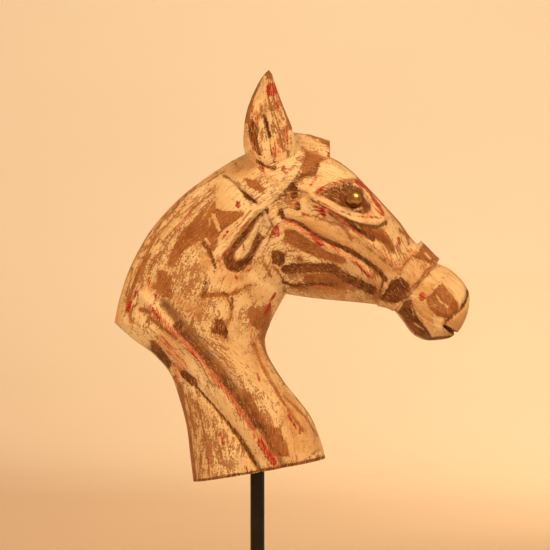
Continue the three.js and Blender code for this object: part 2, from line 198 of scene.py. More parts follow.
# ---- Paint: (half width, path) for strokes, outlines for patches; later colours lie over earlier ones ----
STROKES = {
    "tan": [
        (4, [(-104, 308), (-112, 290), (-119, 262), (-120, 248)]),
        (3, [(39, 356), (46, 351)]),
        (3, [(-45, 269), (-33, 271), (-25, 270), (-16, 273), (-6, 279)]),
        (2.6, [(-25, 268), (-21, 260), (-22, 252), (-26, 243), (-28, 233)]),
        (2.2, [(-70, 270), (-62, 262), (-50, 258)]),
        (5, [(-66, 247), (-50, 226), (-33, 204), (-16, 182), (-2, 162), (12, 138), (22, 120)]),
        (2.4, [(4, 372), (14, 366), (22, 360)]),
        (2.2, [(70, 325), (84, 315), (98, 305), (110, 296)]),
        (2, [(62, 388), (74, 381), (88, 369), (102, 353), (113, 341), (125, 327), (133, 317)]),
        (1.2, [(36, 285), (62, 286), (74, 280)]),
        (3, [(99, 320), (108, 312)]),
        (2, [(-11, 410), (-9, 397)]),
        (2, [(151, 239), (158, 237), (166, 236)]),
        (2, [(159, 291), (165, 287), (174, 279), (179, 273)]),
        (2.2, [(66, 352), (71, 350)]),
        (3.4, [(88, 343), (94, 341)]),
    ],
    "brown": [
        (2.1, [(4, 453), (-1, 443), (-6, 434), (-7, 426), (-9, 417)]),
        (0.9, [(4, 429), (2, 422), (0, 415), (1, 409)]),
        (1.5, [(63, 387), (74, 380), (88, 368), (102, 352), (113, 340), (125, 326), (133, 316)]),
        (0.8, [(9, 436), (12, 426), (16, 419), (18, 410)]),
        (0.8, [(14, 436), (17, 426), (22, 417)]),
        (1.7, [(16, 449), (19, 437), (23, 427), (26, 417), (28, 410)]),
        (1.1, [(19, 409), (19, 400), (22, 393)]),
        (1, [(22, 409), (23, 400), (23, 393)]),
        (1, [(24, 393), (26, 388), (28, 392), (28, 402)]),
        (1.2, [(36, 408), (46, 405), (62, 401)]),
        (1, [(38, 395), (46, 389), (58, 384)]),
        (0.9, [(44, 353), (51, 358.5), (59, 363), (66, 366), (74, 367), (86, 367)]),
        (0.7, [(74, 324), (87, 314), (104, 301), (117, 291)]),
        (1.8, [(91, 329), (102, 326), (109, 318), (114, 308)]),
        (1.2, [(38, 338), (49, 336), (60, 331), (70, 329), (76, 323), (79, 317)]),
        (2, [(35, 301), (36, 300)]),
        (1, [(6, 296), (12, 285)]),
        (1, [(15, 293), (22, 283)]),
        (1.3, [(121, 330), (125, 323), (128, 313)]),
        (0.8, [(132, 304), (125, 298), (121, 291)]),
        (1.3, [(153, 302), (148, 295), (142, 290), (136, 281), (130, 276)]),
        (2.4, [(162, 287), (164, 285)]),
        (0.9, [(-26, 370), (-18, 362), (-14, 358)]),
        (0.9, [(12, 328), (6, 318), (0, 323)]),
        (1.7, [(-91, 305), (-99, 293), (-104, 281), (-108, 270), (-110, 257)]),
        (0.6, [(-28, 375), (-36, 370), (-48, 363), (-59, 356), (-72, 347), (-79, 338), (-89, 325),
               (-95, 317), (-100, 307), (-102, 301)]),
        (0.5, [(-62, 354), (-61, 348), (-66, 341), (-73, 334), (-76, 328), (-81, 319), (-88, 311),
               (-90, 303)]),
        (0.5, [(-77, 336), (-76, 330), (-81, 322), (-89, 314), (-94, 311), (-99, 306)]),
        (0.5, [(-34, 360), (-48, 349), (-57, 341), (-65, 332), (-73, 321)]),
        (0.4, [(-34, 364), (-48, 353), (-57, 345), (-62, 340), (-68, 335)]),
        (0.5, [(-68, 324), (-77, 313), (-83, 306), (-89, 299), (-91, 291)]),
        (1.0, [(-101, 302), (-93, 301), (-84, 298)]),
        (0.8, [(-106, 293), (-108, 282), (-111, 271), (-110, 257)]),
        (1.2, [(-25, 268), (-21, 260), (-22, 252), (-26, 243), (-28, 233)]),
        (1.6, [(-45, 270), (-33, 271), (-25, 270), (-16, 273), (-6, 279)]),
        (1.2, [(28, 278), (42, 275.5)]),
        (1.4, [(120, 325), (128, 319)]),
        (0.7, [(163, 290), (158, 282), (151, 274), (148, 270)]),
        (0.9, [(-101, 263), (-106, 259), (-108, 253), (-106, 248), (-102, 245)]),
        (2, [(-99, 258), (-90, 256)]),
        (2, [(-46, 269), (-28, 271)]),
        (2, [(9, 253), (5, 241)]),
        (1.6, [(-91, 251), (-83, 245), (-68, 234)]),
        (2.5, [(-66, 194), (-58, 150), (-53, 114)]),
        (3.4, [(-8, 186), (4, 160)]),
        (0.8, [(22, 185), (34, 174), (43, 164), (50, 151)]),
        (1.4, [(2, 236), (8, 220), (19, 202), (36, 181), (51, 160)]),
        (1.2, [(-3, 228), (6, 206), (22, 180), (38, 156)]),
        (1, [(-60, 186), (-52, 150)]),
        (0.9, [(-50, 178), (-42, 142), (-40, 118)]),
        (1, [(-38, 166), (-28, 128)]),
    ],
    # Dark strokes: stain in some, painted shade in others, along carved grooves and valleys, where the ears
    # and the forelock meet the head, in the nostril and the mouth's slot, and under the chin.
    "dark": [
        (1.5, [(6, 421), (8, 414), (9, 409), (11, 404)]),
        (0.8, [(11, 402), (11, 393), (13, 385), (15, 378)]),
        (1.5, [(0, 383), (6, 379), (15, 376)]),
        (1.3, [(51, 381), (50, 372), (40, 371), (34, 368)]),
        (1.5, [(77, 364), (79, 364)]),
        (1.4, [(54, 355), (62, 359), (70, 361)]),
        (1.6, [(66, 355), (70, 358)]),
        (2.4, [(73, 361), (80, 360), (87, 358)]),
        (1.2, [(46, 350), (55, 345), (64, 340), (79, 332), (87, 329.5), (100, 327), (108, 330)]),
        (2.4, [(62, 339), (74, 331), (87, 323), (97, 317)]),
        (2, [(21, 335), (28, 333), (38, 328), (49, 320), (62, 314), (79, 307), (91, 299), (102, 291),
             (108, 283)]),
        (4, [(24, 292), (36, 293), (62, 293), (74, 285), (87, 279), (97, 274)]),
        (1.5, [(22, 281), (32, 278), (45, 279), (66, 279)]),
        (1, [(107, 285), (104, 274)]),
        # Painted shade in the nostril, in the mouth's slot and along the lower edge of the chin.
        (1.4, [(178, 273), (176, 266), (172, 259)]),
        (1.3, [(158, 244), (168, 238)]),
        (1.5, [(134, 238), (147, 233), (165, 235)]),
        (0.9, [(33, 370), (26, 362), (18, 352), (6, 344)]),
        (0.9, [(12, 356), (25, 353)]),
        (2.8, [(7, 342), (7, 340)]),
        (2.8, [(20, 341), (20, 339)]),
        (2.4, [(34, 347), (34, 343)]),
        (0.8, [(23, 273.6), (23.6, 273)]),
        (0.7, [(47, 353), (55, 360), (66, 365), (79, 366), (87, 365), (96, 355), (104, 344)]),
        (0.5, [(-31, 300), (-21, 323), (-2, 342), (17, 358.5), (36, 374)]),
        (0.7, [(2, 340), (21, 353), (38, 368), (49, 378)]),
        (0.6, [(8, 336), (14, 326), (10, 316), (5, 306)]),
        (0.9, [(-28, 272), (-20, 266), (-22, 258)]),
        (0.8, [(60, 340), (76, 332.5), (88, 328.5), (100, 329), (108, 332)]),
        (0.9, [(178, 272), (175, 263), (170, 256), (159, 248)]),
        (1.5, [(-46, 314), (-40, 307), (-35, 293)]),
        (1.6, [(-43, 280), (-45, 270)]),
        # Painted shade along the valley beside the shoulder ridge, and along the groove behind it.
        (3.6, [(-68, 244), (-57, 230), (-49, 222), (-39, 210), (-28, 196), (-18, 184), (-11, 172),
               (-3, 160)]),
        (1.9, [(-63, 205), (-51, 194), (-37, 179), (-23, 162), (-11, 145), (-2, 130), (6, 118)]),
        (3.4, [(-62, 204), (-54, 197)]),
        (1.3, [(-54, 113), (57, 133)]),
    ],
    "cream": [
        (1.5, [(6, 453), (3, 444), (1, 436), (-1, 427)]),
        (1.1, [(90, 354), (94, 348)]),
        (2.4, [(47, 353), (63, 344), (80, 335.5), (91, 332.5), (101, 331), (108, 337)]),
        (1.1, [(142, 305), (146, 301)]),
        (0.4, [(130, 262), (132, 253)]),
        (0.4, [(133, 246), (140, 241)]),
        (0.8, [(151, 269), (155, 264), (160, 260)]),
        (2.7, [(-34, 303), (-25, 312), (-17, 322), (-8, 333), (0, 341), (9, 348), (17, 356),
               (28, 368), (34, 380)]),
        (2.6, [(40, 347), (40, 344)]),
        (1.5, [(-37, 338), (-32, 325)]),
        (0.8, [(-40, 334), (-40, 329)]),
        (0.8, [(-44, 318), (-40, 313)]),
        (0.7, [(-36, 351), (-47, 334)]),
        (1.1, [(71, 343), (80, 341), (87, 343)]),
        (1.3, [(-49, 194), (-39, 183), (-28, 171), (-19, 160)]),
    ],
    "pink": [
        (1.0, [(-56, 340), (-62, 333), (-68, 327)]),
        (1.1, [(45, 392), (53, 387)]),
        (1.2, [(13, 447), (16, 437), (19, 424)]),
        (1.0, [(20, 420), (24, 408), (25, 398)]),
        (1.3, [(-30, 300), (-18, 318), (-8, 331)]),
        (1.2, [(24, 372), (36, 385), (40, 392)]),
        (1.4, [(50, 370), (44, 361)]),
        (1.5, [(51, 356), (60, 361), (72, 365), (82, 366)]),
        (1.2, [(92, 351), (104, 338)]),
        (1.5, [(59, 343), (70, 333), (80, 325), (91, 317), (108, 303), (121, 291)]),
        (2, [(22, 332), (32, 329), (43, 321), (53, 314), (66, 308), (79, 300)]),
        (1.8, [(80, 298), (89, 293), (96, 285)]),
        (1.6, [(130, 308), (133, 305)]),
        (1.2, [(34, 351), (28, 343)]),
        (1.3, [(-33, 303), (-30, 291), (-29, 286), (-30, 280)]),
        (1.6, [(-92, 284), (-90, 274)]),
        (1, [(-6, 245), (-5, 228)]),
        (2.2, [(-91, 260), (-73, 242), (-49, 217), (-28, 191), (-9, 166), (6, 143), (15, 128)]),
        (1.2, [(66, 276), (48, 277)]),
    ],
    "red": [
        (2, [(3, 377), (5, 375)]),
        (2, [(22, 377), (22, 375)]),
        (1.8, [(59, 392), (61, 388)]),
        (1.2, [(51, 357), (55, 360)]),
        (2, [(84, 366), (87, 363)]),
        (1.4, [(87, 365), (94, 358), (100, 348), (106, 338)]),
        (0.8, [(51, 349), (68, 341), (80, 336.5), (104, 335)]),
        (2.2, [(54, 341), (56, 337)]),
        (2, [(46, 320), (54, 313)]),
        (1, [(82, 297), (94, 286)]),
        (1.4, [(119, 318), (120, 313)]),
        (2.2, [(139, 270), (139, 267)]),
        (2.2, [(-16, 347), (-16, 345)]),
        (0.8, [(-12, 313), (-11, 308)]),
        (0.8, [(-19, 302), (-17, 305)]),
        (1, [(-29, 317), (-25, 324)]),
        (1.2, [(-102, 273), (-107, 264), (-110, 257)]),
        (0.9, [(-87, 271), (-85, 267)]),
        (1.2, [(-18, 285), (-17, 284)]),
        (1.3, [(15, 271), (11, 264), (7, 254)]),
        (0.8, [(0, 204), (2, 198)]),
        (1, [(-89, 259), (-83, 251)]),
        (1.2, [(-55, 222), (-49, 215)]),
        (2.6, [(2, 147), (8, 138), (14, 130)]),
        (1.5, [(-70, 201), (-68, 196)]),
        (0.9, [(-31, 154), (-28, 145)]),
        (0.9, [(-41, 133), (-40, 126)]),
        (0.9, [(-10, 127), (-7, 121)]),
        (0.8, [(26, 169), (36, 154)]),
    ],
}
STROKES["brown"] += [(0.3, path) for path in MANE_STRANDS + MANE_CUTS]
PATCHES = {
    "tan": [
        [(130, 266), (142, 266), (152, 252), (161, 250), (155, 244), (147, 240), (138, 247),
         (132, 257)],
        [(-8, 393), (0, 393), (0, 383), (-8, 383)],
        # Painted shade: a tan gradient below the cheek strap.
        [(39, 336), (53, 332), (70, 325), (97, 307), (117, 293), (114, 286), (102, 291), (79, 303),
         (62, 314), (36, 332)],
        [(45, 278), (74, 276), (74, 268), (45, 268)],
        [(85, 283), (97, 285), (107, 280), (106, 274), (96, 274)],
        [(125, 285), (130, 276), (136, 281), (131, 290)],
        [(134, 283), (142, 280), (150, 282), (147, 272), (138, 268), (133, 274)],
        [(159, 245), (160, 250), (171, 257), (175, 262), (178, 261), (176, 249), (171, 240),
         (165, 240)],
        [(-29, 376), (-15, 387), (-8, 391), (-2, 385), (0, 379), (-6, 370), (-15, 367), (-23, 370)],
        [(-25, 289), (-11, 289), (-11, 281), (-25, 281)],
        [(-49, 310), (-43, 307), (-38, 298), (-40, 291), (-46, 289), (-49, 298)],
        [(-5, 236), (7, 236), (9, 206), (0, 206)],
        [(15, 194), (30, 186), (50, 150), (54, 138), (30, 138), (20, 170)],
    ],
    "brown": [
        [(6, 461), (13, 461), (13, 451), (6, 451)],
        [(51, 402), (63, 402), (63, 393), (53, 400)],
        [(39, 395), (46, 389), (57, 385), (53, 381), (50, 372), (40, 371), (36, 378), (40, 387)],
        [(23, 325), (32, 325), (45, 316), (57, 308), (75, 301), (72, 296), (57, 300), (45, 304),
         (32, 310), (22, 316)],
        [(98, 272), (105, 275), (106, 270), (101, 265), (97, 267)],
        [(40, 288), (64, 289), (76, 280), (74, 275), (50, 275), (38, 281)],
        [(6, 262), (12, 262), (10, 240), (8, 226), (2, 232)],
        [(131, 302), (136, 307), (142, 316), (155, 305), (147, 295), (142, 298), (134, 300)],
        [(153, 279), (158, 279), (164, 272), (170, 262), (170, 256), (161, 250), (152, 252),
         (145, 259), (142, 266)],
        [(-10, 368), (-1, 367), (6, 359), (6, 356), (-1, 358), (-8, 362)],
        [(-34, 352), (-34, 344), (-28, 341), (-20, 341), (-11, 340), (-11, 337), (-16, 334),
         (-22, 329), (-28, 324), (-33, 318), (-34, 311), (-36, 306), (-42, 310), (-47, 316),
         (-53, 313), (-61, 308), (-67, 301), (-73, 294), (-77, 293), (-74, 302), (-70, 314),
         (-65, 323), (-56, 331), (-48, 340), (-40, 347)],
        [(-9, 255), (-3, 260), (6, 255), (7, 248), (3, 240), (-4, 243)],
        [(84, 329), (96, 326), (105, 323), (111, 316), (114, 308), (111, 307), (105, 314), (96, 319),
         (88, 323)],
        [(-85, 291), (-79, 291), (-74, 283), (-71, 273), (-72, 268), (-79, 268), (-85, 274),
         (-91, 276), (-85, 281)],
        [(4, 164), (20, 158), (28, 134), (10, 136)],
    ],
    "dark": [
        [(56, 353), (63, 358), (74, 361), (85, 359), (92, 354), (96, 347), (95, 341), (89, 338),
         (79, 340), (62, 349)],
        [(-6, 419), (-1, 415), (2, 409), (0, 400), (2, 393), (4, 387), (0, 388), (-4, 395),
         (-7, 402), (-7, 412)],
        [(12, 307), (16, 308), (23, 306), (24, 298), (19, 294), (12, 297)],
        [(113, 283), (121, 285), (128, 280), (129, 274), (125, 267), (117, 263), (108, 264),
         (102, 267), (108, 273)],
        [(125, 266), (130, 266), (133, 257), (138, 249), (145, 240), (148, 235), (140, 234),
         (131, 240), (119, 256)],
        [(-14, 359), (-10, 357), (-5, 353), (0, 349), (0, 347), (-6, 348), (-11, 352)],
        [(24, 365), (31, 365), (35, 358), (34, 352), (29, 348), (28, 355)],
        # Painted shade along the wall of the deep carved hollow below the ear.
        [(2, 341), (-9, 330), (-20, 318), (-30, 303), (-28, 297), (-25, 291), (-20, 289), (-11, 291),
         (-4, 301), (1, 311), (3, 318), (1, 324), (-4, 313), (-6, 306), (-12, 299), (-21, 300),
         (-19, 308), (-9, 319), (0, 334), (4, 339)],
        [(-36, 250), (-29, 250), (-27, 245), (-24, 239), (-25, 232), (-31, 237), (-40, 239),
         (-35, 245)],
        # Painted shadow on the back edge of the neck, below the mane.
        [(-90, 232), (-85, 230), (-78, 222), (-72, 213), (-74, 206), (-83, 215), (-90, 223)],
    ],
    "cream": [
        [(51, 375), (55, 383), (63, 385), (74, 378), (85, 370), (74, 368), (66, 366), (57, 363),
         (43, 354), (46, 363)],
        [(29, 408), (36, 408), (45, 404), (53, 399), (60, 393), (60, 391), (51, 393), (40, 397),
         (32, 402)],
        [(1, 331), (1, 325), (-4, 314), (-7, 307), (-12, 300.5), (-20, 301), (-18, 307), (-9, 318)],
        [(6, 341), (9, 337), (12, 328), (6, 319), (1, 323), (2, 330), (5, 337)],
        [(148, 251), (157, 250), (155, 242), (149, 245)],
        # Cream paint on the top of the muzzle, partly a painted highlight.
        [(151, 294), (162, 291), (174, 280), (177, 269), (174, 263), (168, 266), (161, 274),
         (155, 282), (147, 280), (139, 276), (143, 285)],
        [(-101, 274), (-96, 276), (-91, 270), (-93, 262), (-100, 266)],
        [(-19, 250), (-14, 247), (-15, 236), (-10, 225), (-15, 219), (-22, 222), (-24, 230),
         (-23, 240)],
        [(-6, 223), (-6, 217), (-9, 211), (-13, 209), (-11, 217)],
        [(-7, 206), (0, 208), (5, 200), (7, 194), (2, 190), (-3, 196)],
        [(-35, 368), (-25, 369), (-18, 363), (-8, 345), (-12, 342), (-22, 341), (-35, 343)],
    ],
    "pink": [
        [(13, 399), (19, 399), (19, 386), (13, 386)],
        [(-5, 426), (0, 426), (1, 420), (-1, 414), (-4, 419)],
        [(46, 347), (50, 345), (58, 339), (55, 335), (49, 339)],
        [(-11, 291), (-6, 297), (-2, 299), (-4, 293), (-9, 288)],
        [(-73, 213), (-66, 213), (-64, 200), (-70, 200)],
        [(-82, 238), (-68, 225), (-57, 208), (-62, 206), (-83, 230)],
    ],
    "red": [
        [(7, 446), (11, 449), (15, 449), (17, 440), (14, 437), (8, 437)],
        [(11, 324), (17, 330), (19, 325), (19, 319), (15, 319)],
    ],
}
PAINT_REACH = 12  # a colour's distance is kept this far from its strokes and patches
# How worn the paint is: (amount from 0 to 1, outline), fading over SOFT_EDGE on each side of it.
WORN_AREAS = [
    (0.76, [(-64, 205), (-40, 182), (-8, 138), (2, 116), (-54, 112)]),
    (0.8, [(-75, 310), (-45, 312), (-30, 270), (-30, 235), (-5, 190), (-40, 205), (-70, 240),
           (-92, 266)]),
    (0.8, [(-24, 205), (0, 205), (30, 140), (10, 135), (-8, 158)]),
    (0.7, [(20, 315), (45, 302), (80, 296), (75, 285), (25, 292)]),
    (0.52, [(-12, 455), (20, 462), (34, 400), (34, 370), (20, 355), (-5, 360), (-14, 390)]),
    (0.8, [(20, 310), (45, 300), (110, 280), (115, 262), (24, 268)]),
    (0.7, [(-20, 262), (24, 272), (8, 225), (45, 170), (20, 190), (-12, 225)]),
    (0.9, [(53, 354), (66, 361), (85, 362), (100, 350), (97, 338), (79, 339)]),
    (0.95, [(-71, 282), (-62, 287), (-52, 289), (-45, 279), (-46, 269), (-57, 260), (-67, 267)]),
    (0.95, [(-23, 269), (-21, 277), (-9, 281), (-1, 283), (2, 278), (-4, 271), (-14, 269)]),
    (0.85, [(-40, 250), (-22, 250), (-18, 232), (-40, 225)]),
    (0.9, [(10, 352), (22, 366), (38, 372), (44, 360), (36, 340), (22, 336)]),
    (0.85, [(28, 378), (36, 396), (50, 396), (60, 385), (50, 370), (38, 366)]),
    (0.8, [(0, 362), (2, 376), (20, 376), (22, 360)]),
    (0.68, [(-88, 268), (-66, 244), (-30, 200), (-8, 168), (-14, 160), (-50, 200), (-92, 250)]),
    (0.74, [(-116, 262), (-104, 292), (-84, 318), (-60, 340), (-36, 360), (-28, 352), (-74, 300),
            (-92, 272)]),
    (0.5, [(100, 270), (130, 285), (165, 280), (170, 240), (130, 232)]),
]
WORN_EVERYWHERE = 0.44
SOFT_EDGE = 9
# Scales of the noises, in cells for each metre: (along the grain, across it, 1), or one number for spots.
BROAD_STREAKS = (38, 300, 1)
STREAKS = (80, 700, 1)
HAIR_STREAKS = (170, 1500, 1)
DABS = (32, 105, 1)
SPECKS = 620
BLOTCHES = 85
STRAY_PINK = 48
CLOUDS = 24

# ---- The stage, in metres: lights aim at the middle of the head unless they say otherwise ----
LIGHTS = {
    "key": {"place": (1.1, -1.1, 2.3), "size": 1.1, "beam": 150, "glossy": True},
    "fill": {"place": (-1.1, -1.9, 1.1), "size": 1.0, "beam": 100},
    "wall_wash": {"place": (0.7, 0.0, 1.5), "aim": (0.15, 4.9, 1.7), "size": 0.8, "beam": 90},
    "floor_wash": {"place": (1.4, 0.9, 1.2), "aim": (0.5, 2.2, 0), "size": 0.8, "beam": 120},
}
BACKDROP = {"bend": 3.2, "top": 4.2, "rows": 33, "sides": 128}


# ---- Curves, distances and bumps, all for whole arrays ----
def smooth_curve(keys, at, corner=None):
    """Values on a smooth curve through keys of (place, value, ...), one row for each place asked.

    Between two keys it is a cubic. Its slope at a key is the slope from the key before to the key
    after, or 0 at the sharp corner.
    """
    keys = np.array(keys, float)
    place, value = keys[:, 0], keys[:, 1:]
    index = np.arange(len(keys))
    before, after = np.maximum(index - 1, 0), np.minimum(index + 1, index[-1])
    slope = (value[after] - value[before]) / (place[after] - place[before])[:, None]
    if corner is not None:
        slope[corner] = 0
    at = np.asarray(at, float)
    k = np.clip(np.searchsorted(place, at) - 1, 0, len(keys) - 2)
    span = (place[k + 1] - place[k])[:, None]
    t = (at - place[k])[:, None] / span
    return (
        (2 * t**3 - 3 * t**2 + 1) * value[k]
        + (t**3 - 2 * t**2 + t) * span * slope[k]
        + (3 * t**2 - 2 * t**3) * value[k + 1]
        + (t**3 - t**2) * span * slope[k + 1]
    )


def rail_points(rail, corner, stations):
    """x and z of a rail at these stations: its points are the keys at 0, 1, 2 and so on."""
    points = smooth_curve([(i, x, z) for i, (x, z) in enumerate(rail)], stations, corner)
    return points[:, 0], points[:, 1]


def smooth_step(value):
    """0 below 0, 1 above 1, and 3v^2 - 2v^3 between them."""
    v = np.clip(value, 0, 1)
    return v * v * (3 - 2 * v)


def soft_bump(distance):
    """The square of a quarter wave: 1 at distance 0, 0 from 1 outwards."""
    return np.where(distance < 1, np.cos(np.pi / 2 * np.minimum(distance, 1)) ** 2, 0)


def path_distance(x, z, path):
    """Distance in the XZ plane to a path of straight stretches, the least over the stretches."""
    nearest = np.full(np.shape(x), np.inf)
    for (ax, az), (bx, bz) in zip(path[:-1], path[1:]):
        dx, dz = bx - ax, bz - az
        t = np.clip(((x - ax) * dx + (z - az) * dz) / (dx * dx + dz * dz), 0, 1)
        nearest = np.minimum(nearest, np.hypot(x - ax - t * dx, z - az - t * dz))
    return nearest


def depth_inside(x, z, outline):
    """Distance to a closed outline, positive inside it, by counting the edges a ray crosses."""
    closed = outline + outline[:1]
    inside = np.zeros(np.shape(x), bool)
    for (ax, az), (bx, bz) in zip(closed[:-1], closed[1:]):
        if az != bz:
            inside ^= ((az > z) != (bz > z)) & (x < (bx - ax) * (z - az) / (bz - az) + ax)
    return np.where(inside, 1, -1) * path_distance(x, z, closed)


def near_outline(x, z, points, margin):
    """Which places lie inside the points' box grown by the margin."""
    (low_x, low_z), (high_x, high_z) = np.min(points, axis=0), np.max(points, axis=0)
    return (x > low_x - margin) & (x < high_x + margin) & (z > low_z - margin) & (z < high_z + margin)


def oval_bump(oval, x, z):
    """A soft bump over an oval whose long axis is turned by its slope."""
    cos, sin = np.cos(oval["slope"]), np.sin(oval["slope"])
    dx, dz = x - oval["x"], z - oval["z"]
    return oval["rise"] * soft_bump(
        np.hypot((dx * cos + dz * sin) / oval["long"], (dz * cos - dx * sin) / oval["short"])
    )


def carved_lines(x, z, lines):
    """The sum of the soft ridges and grooves: rise times the bump of distance over half width."""
    rise = np.zeros(np.shape(x))
    for height, half, path in lines:
        near = near_outline(x, z, path, half)
        rise[near] += height * soft_bump(path_distance(x[near], z[near], path) / half)
    return rise


def carved_depth(x, z):
    """How far the carving stands out of each side of the head at (x, z), in millimetres."""
    rise = carved_lines(x, z, CARVED_LINES) + oval_bump(EYE_SOCKET, x, z) + oval_bump(EYEBALL, x, z)
    for height, wall, outline in CARVED_AREAS:
        near = near_outline(x, z, outline, wall)
        rise[near] += height * smooth_step(0.5 + depth_inside(x[near], z[near], outline) / wall)
    return rise


# ---- Meshes ----
def grid_mesh(name, x, y, z, along, across):
    """A closed tube from a grid of points in millimetres whose last column repeats the first.

    along and across are the grid's own distances in millimetres, and become the UV map in metres;
    across is measured from the seam and is negative on the first half of the columns.
    """
    rows, columns = x.shape
    columns -= 1
    row, column = np.meshgrid(np.arange(rows - 1), np.arange(columns), indexing="ij")
    corner_rows = np.stack([row, row, row + 1, row + 1], -1).reshape(-1, 4)
    corner_columns = np.stack([column, column + 1, column + 1, column], -1).reshape(-1, 4)
    faces = corner_rows * columns + corner_columns % columns
    points = np.stack([x, y, z], -1)[:, :-1].reshape(-1, 3) * MM
    mesh = bpy.data.meshes.new(name)
    mesh.from_pydata(points, [], faces)
    first_half = (corner_columns.mean(1) < columns / 2)[:, None]
    side = np.where(first_half, -1, 1)
    uv = np.stack([along[corner_rows, corner_columns], side * across[corner_rows, corner_columns]], -1)
    mesh.uv_layers.new(name="UVMap").uv.foreach_set("vector", (uv * MM).ravel())
    return mesh


def closed_mesh(mesh):
    """Merges the points that fell together, drops flat faces and turns every face outwards."""
    work = bmesh.new()
    work.from_mesh(mesh)
    bmesh.ops.remove_doubles(work, verts=work.verts, dist=2e-6)
    bmesh.ops.dissolve_degenerate(work, edges=work.edges, dist=1e-6)
    bmesh.ops.recalc_face_normals(work, faces=work.faces)
    work.to_mesh(mesh)
    work.free()
    return mesh


def boolean(mesh, tool, operation):
    """The mesh joined with the tool (UNION) or cut by it (DIFFERENCE), as one new mesh."""
    base, cutter = (bpy.data.objects.new("work", data) for data in (mesh, tool))
    for piece in (base, cutter):
        bpy.context.scene.collection.objects.link(piece)
    modifier = base.modifiers.new("Boolean", "BOOLEAN")
    modifier.operation = operation
    modifier.solver = "MANIFOLD"
    modifier.object = cutter
    depsgraph = bpy.context.evaluated_depsgraph_get()
    result = bpy.data.meshes.new_from_object(base.evaluated_get(depsgraph))
    for piece in (base, cutter):
        bpy.data.objects.remove(piece)
    if not result.polygons:
        raise RuntimeError(f"the {operation.lower()} left nothing")
    return result


def shade(mesh, sharp_angle):
    """Shades the mesh smooth, but for edges turned by more than the angle in degrees."""
    mesh.shade_smooth()
    mesh.set_sharp_from_angle(angle=np.radians(sharp_angle))


def add_piece(name, mesh, material, slot, *nodes):
    """Puts a finished mesh in the scene as a piece of the object that stands for these CAD nodes."""
    mesh.name = name
    mesh.materials.clear()
    mesh.materials.append(material)
    piece = bpy.data.objects.new(name, mesh)
    bpy.context.scene.collection.objects.link(piece)
    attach(piece, "root")
    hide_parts(*nodes)


# ---- The head ----
def row_stations():
    """Stations evenly spaced along the loft's middle, closer at the lips, with three more at each
    edge of the noseband."""
    last = len(OUTER_RAIL) - 1
    fine = np.linspace(0, last, 100 * last + 1)
    outer, inner = head_rails(fine)
    middle = (np.array(outer) + np.array(inner)) / 2
    travel = np.concatenate([[0], np.cumsum(np.hypot(*np.diff(middle, axis=1)))])
    even = np.interp(np.linspace(0, travel[-1], HEAD_ROWS), travel, fine)
    lips = last - LIP_STATIONS * np.linspace(0, 1, LIP_ROWS + 1)[1:] ** 2
    edges = [NOSEBAND[end] + side * NOSEBAND["edge"] for end in ("from", "to") for side in (-1, 0, 1)]
    return np.unique(np.concatenate([even, lips, edges]))


def head_rails(stations):
    """x and z of the outer rail and of the inner one at these stations."""
    return rail_points(OUTER_RAIL, MANE_CORNER, stations), rail_points(INNER_RAIL, THROAT_CORNER, stations)


def chisel_ripple(along, across, hand):
    """Two sine waves multiplied, one mostly along the loft and one mostly across it."""
    return np.sin(along / 3.1 + across * 7) * np.sin(across * 23 + along / 19 + hand)


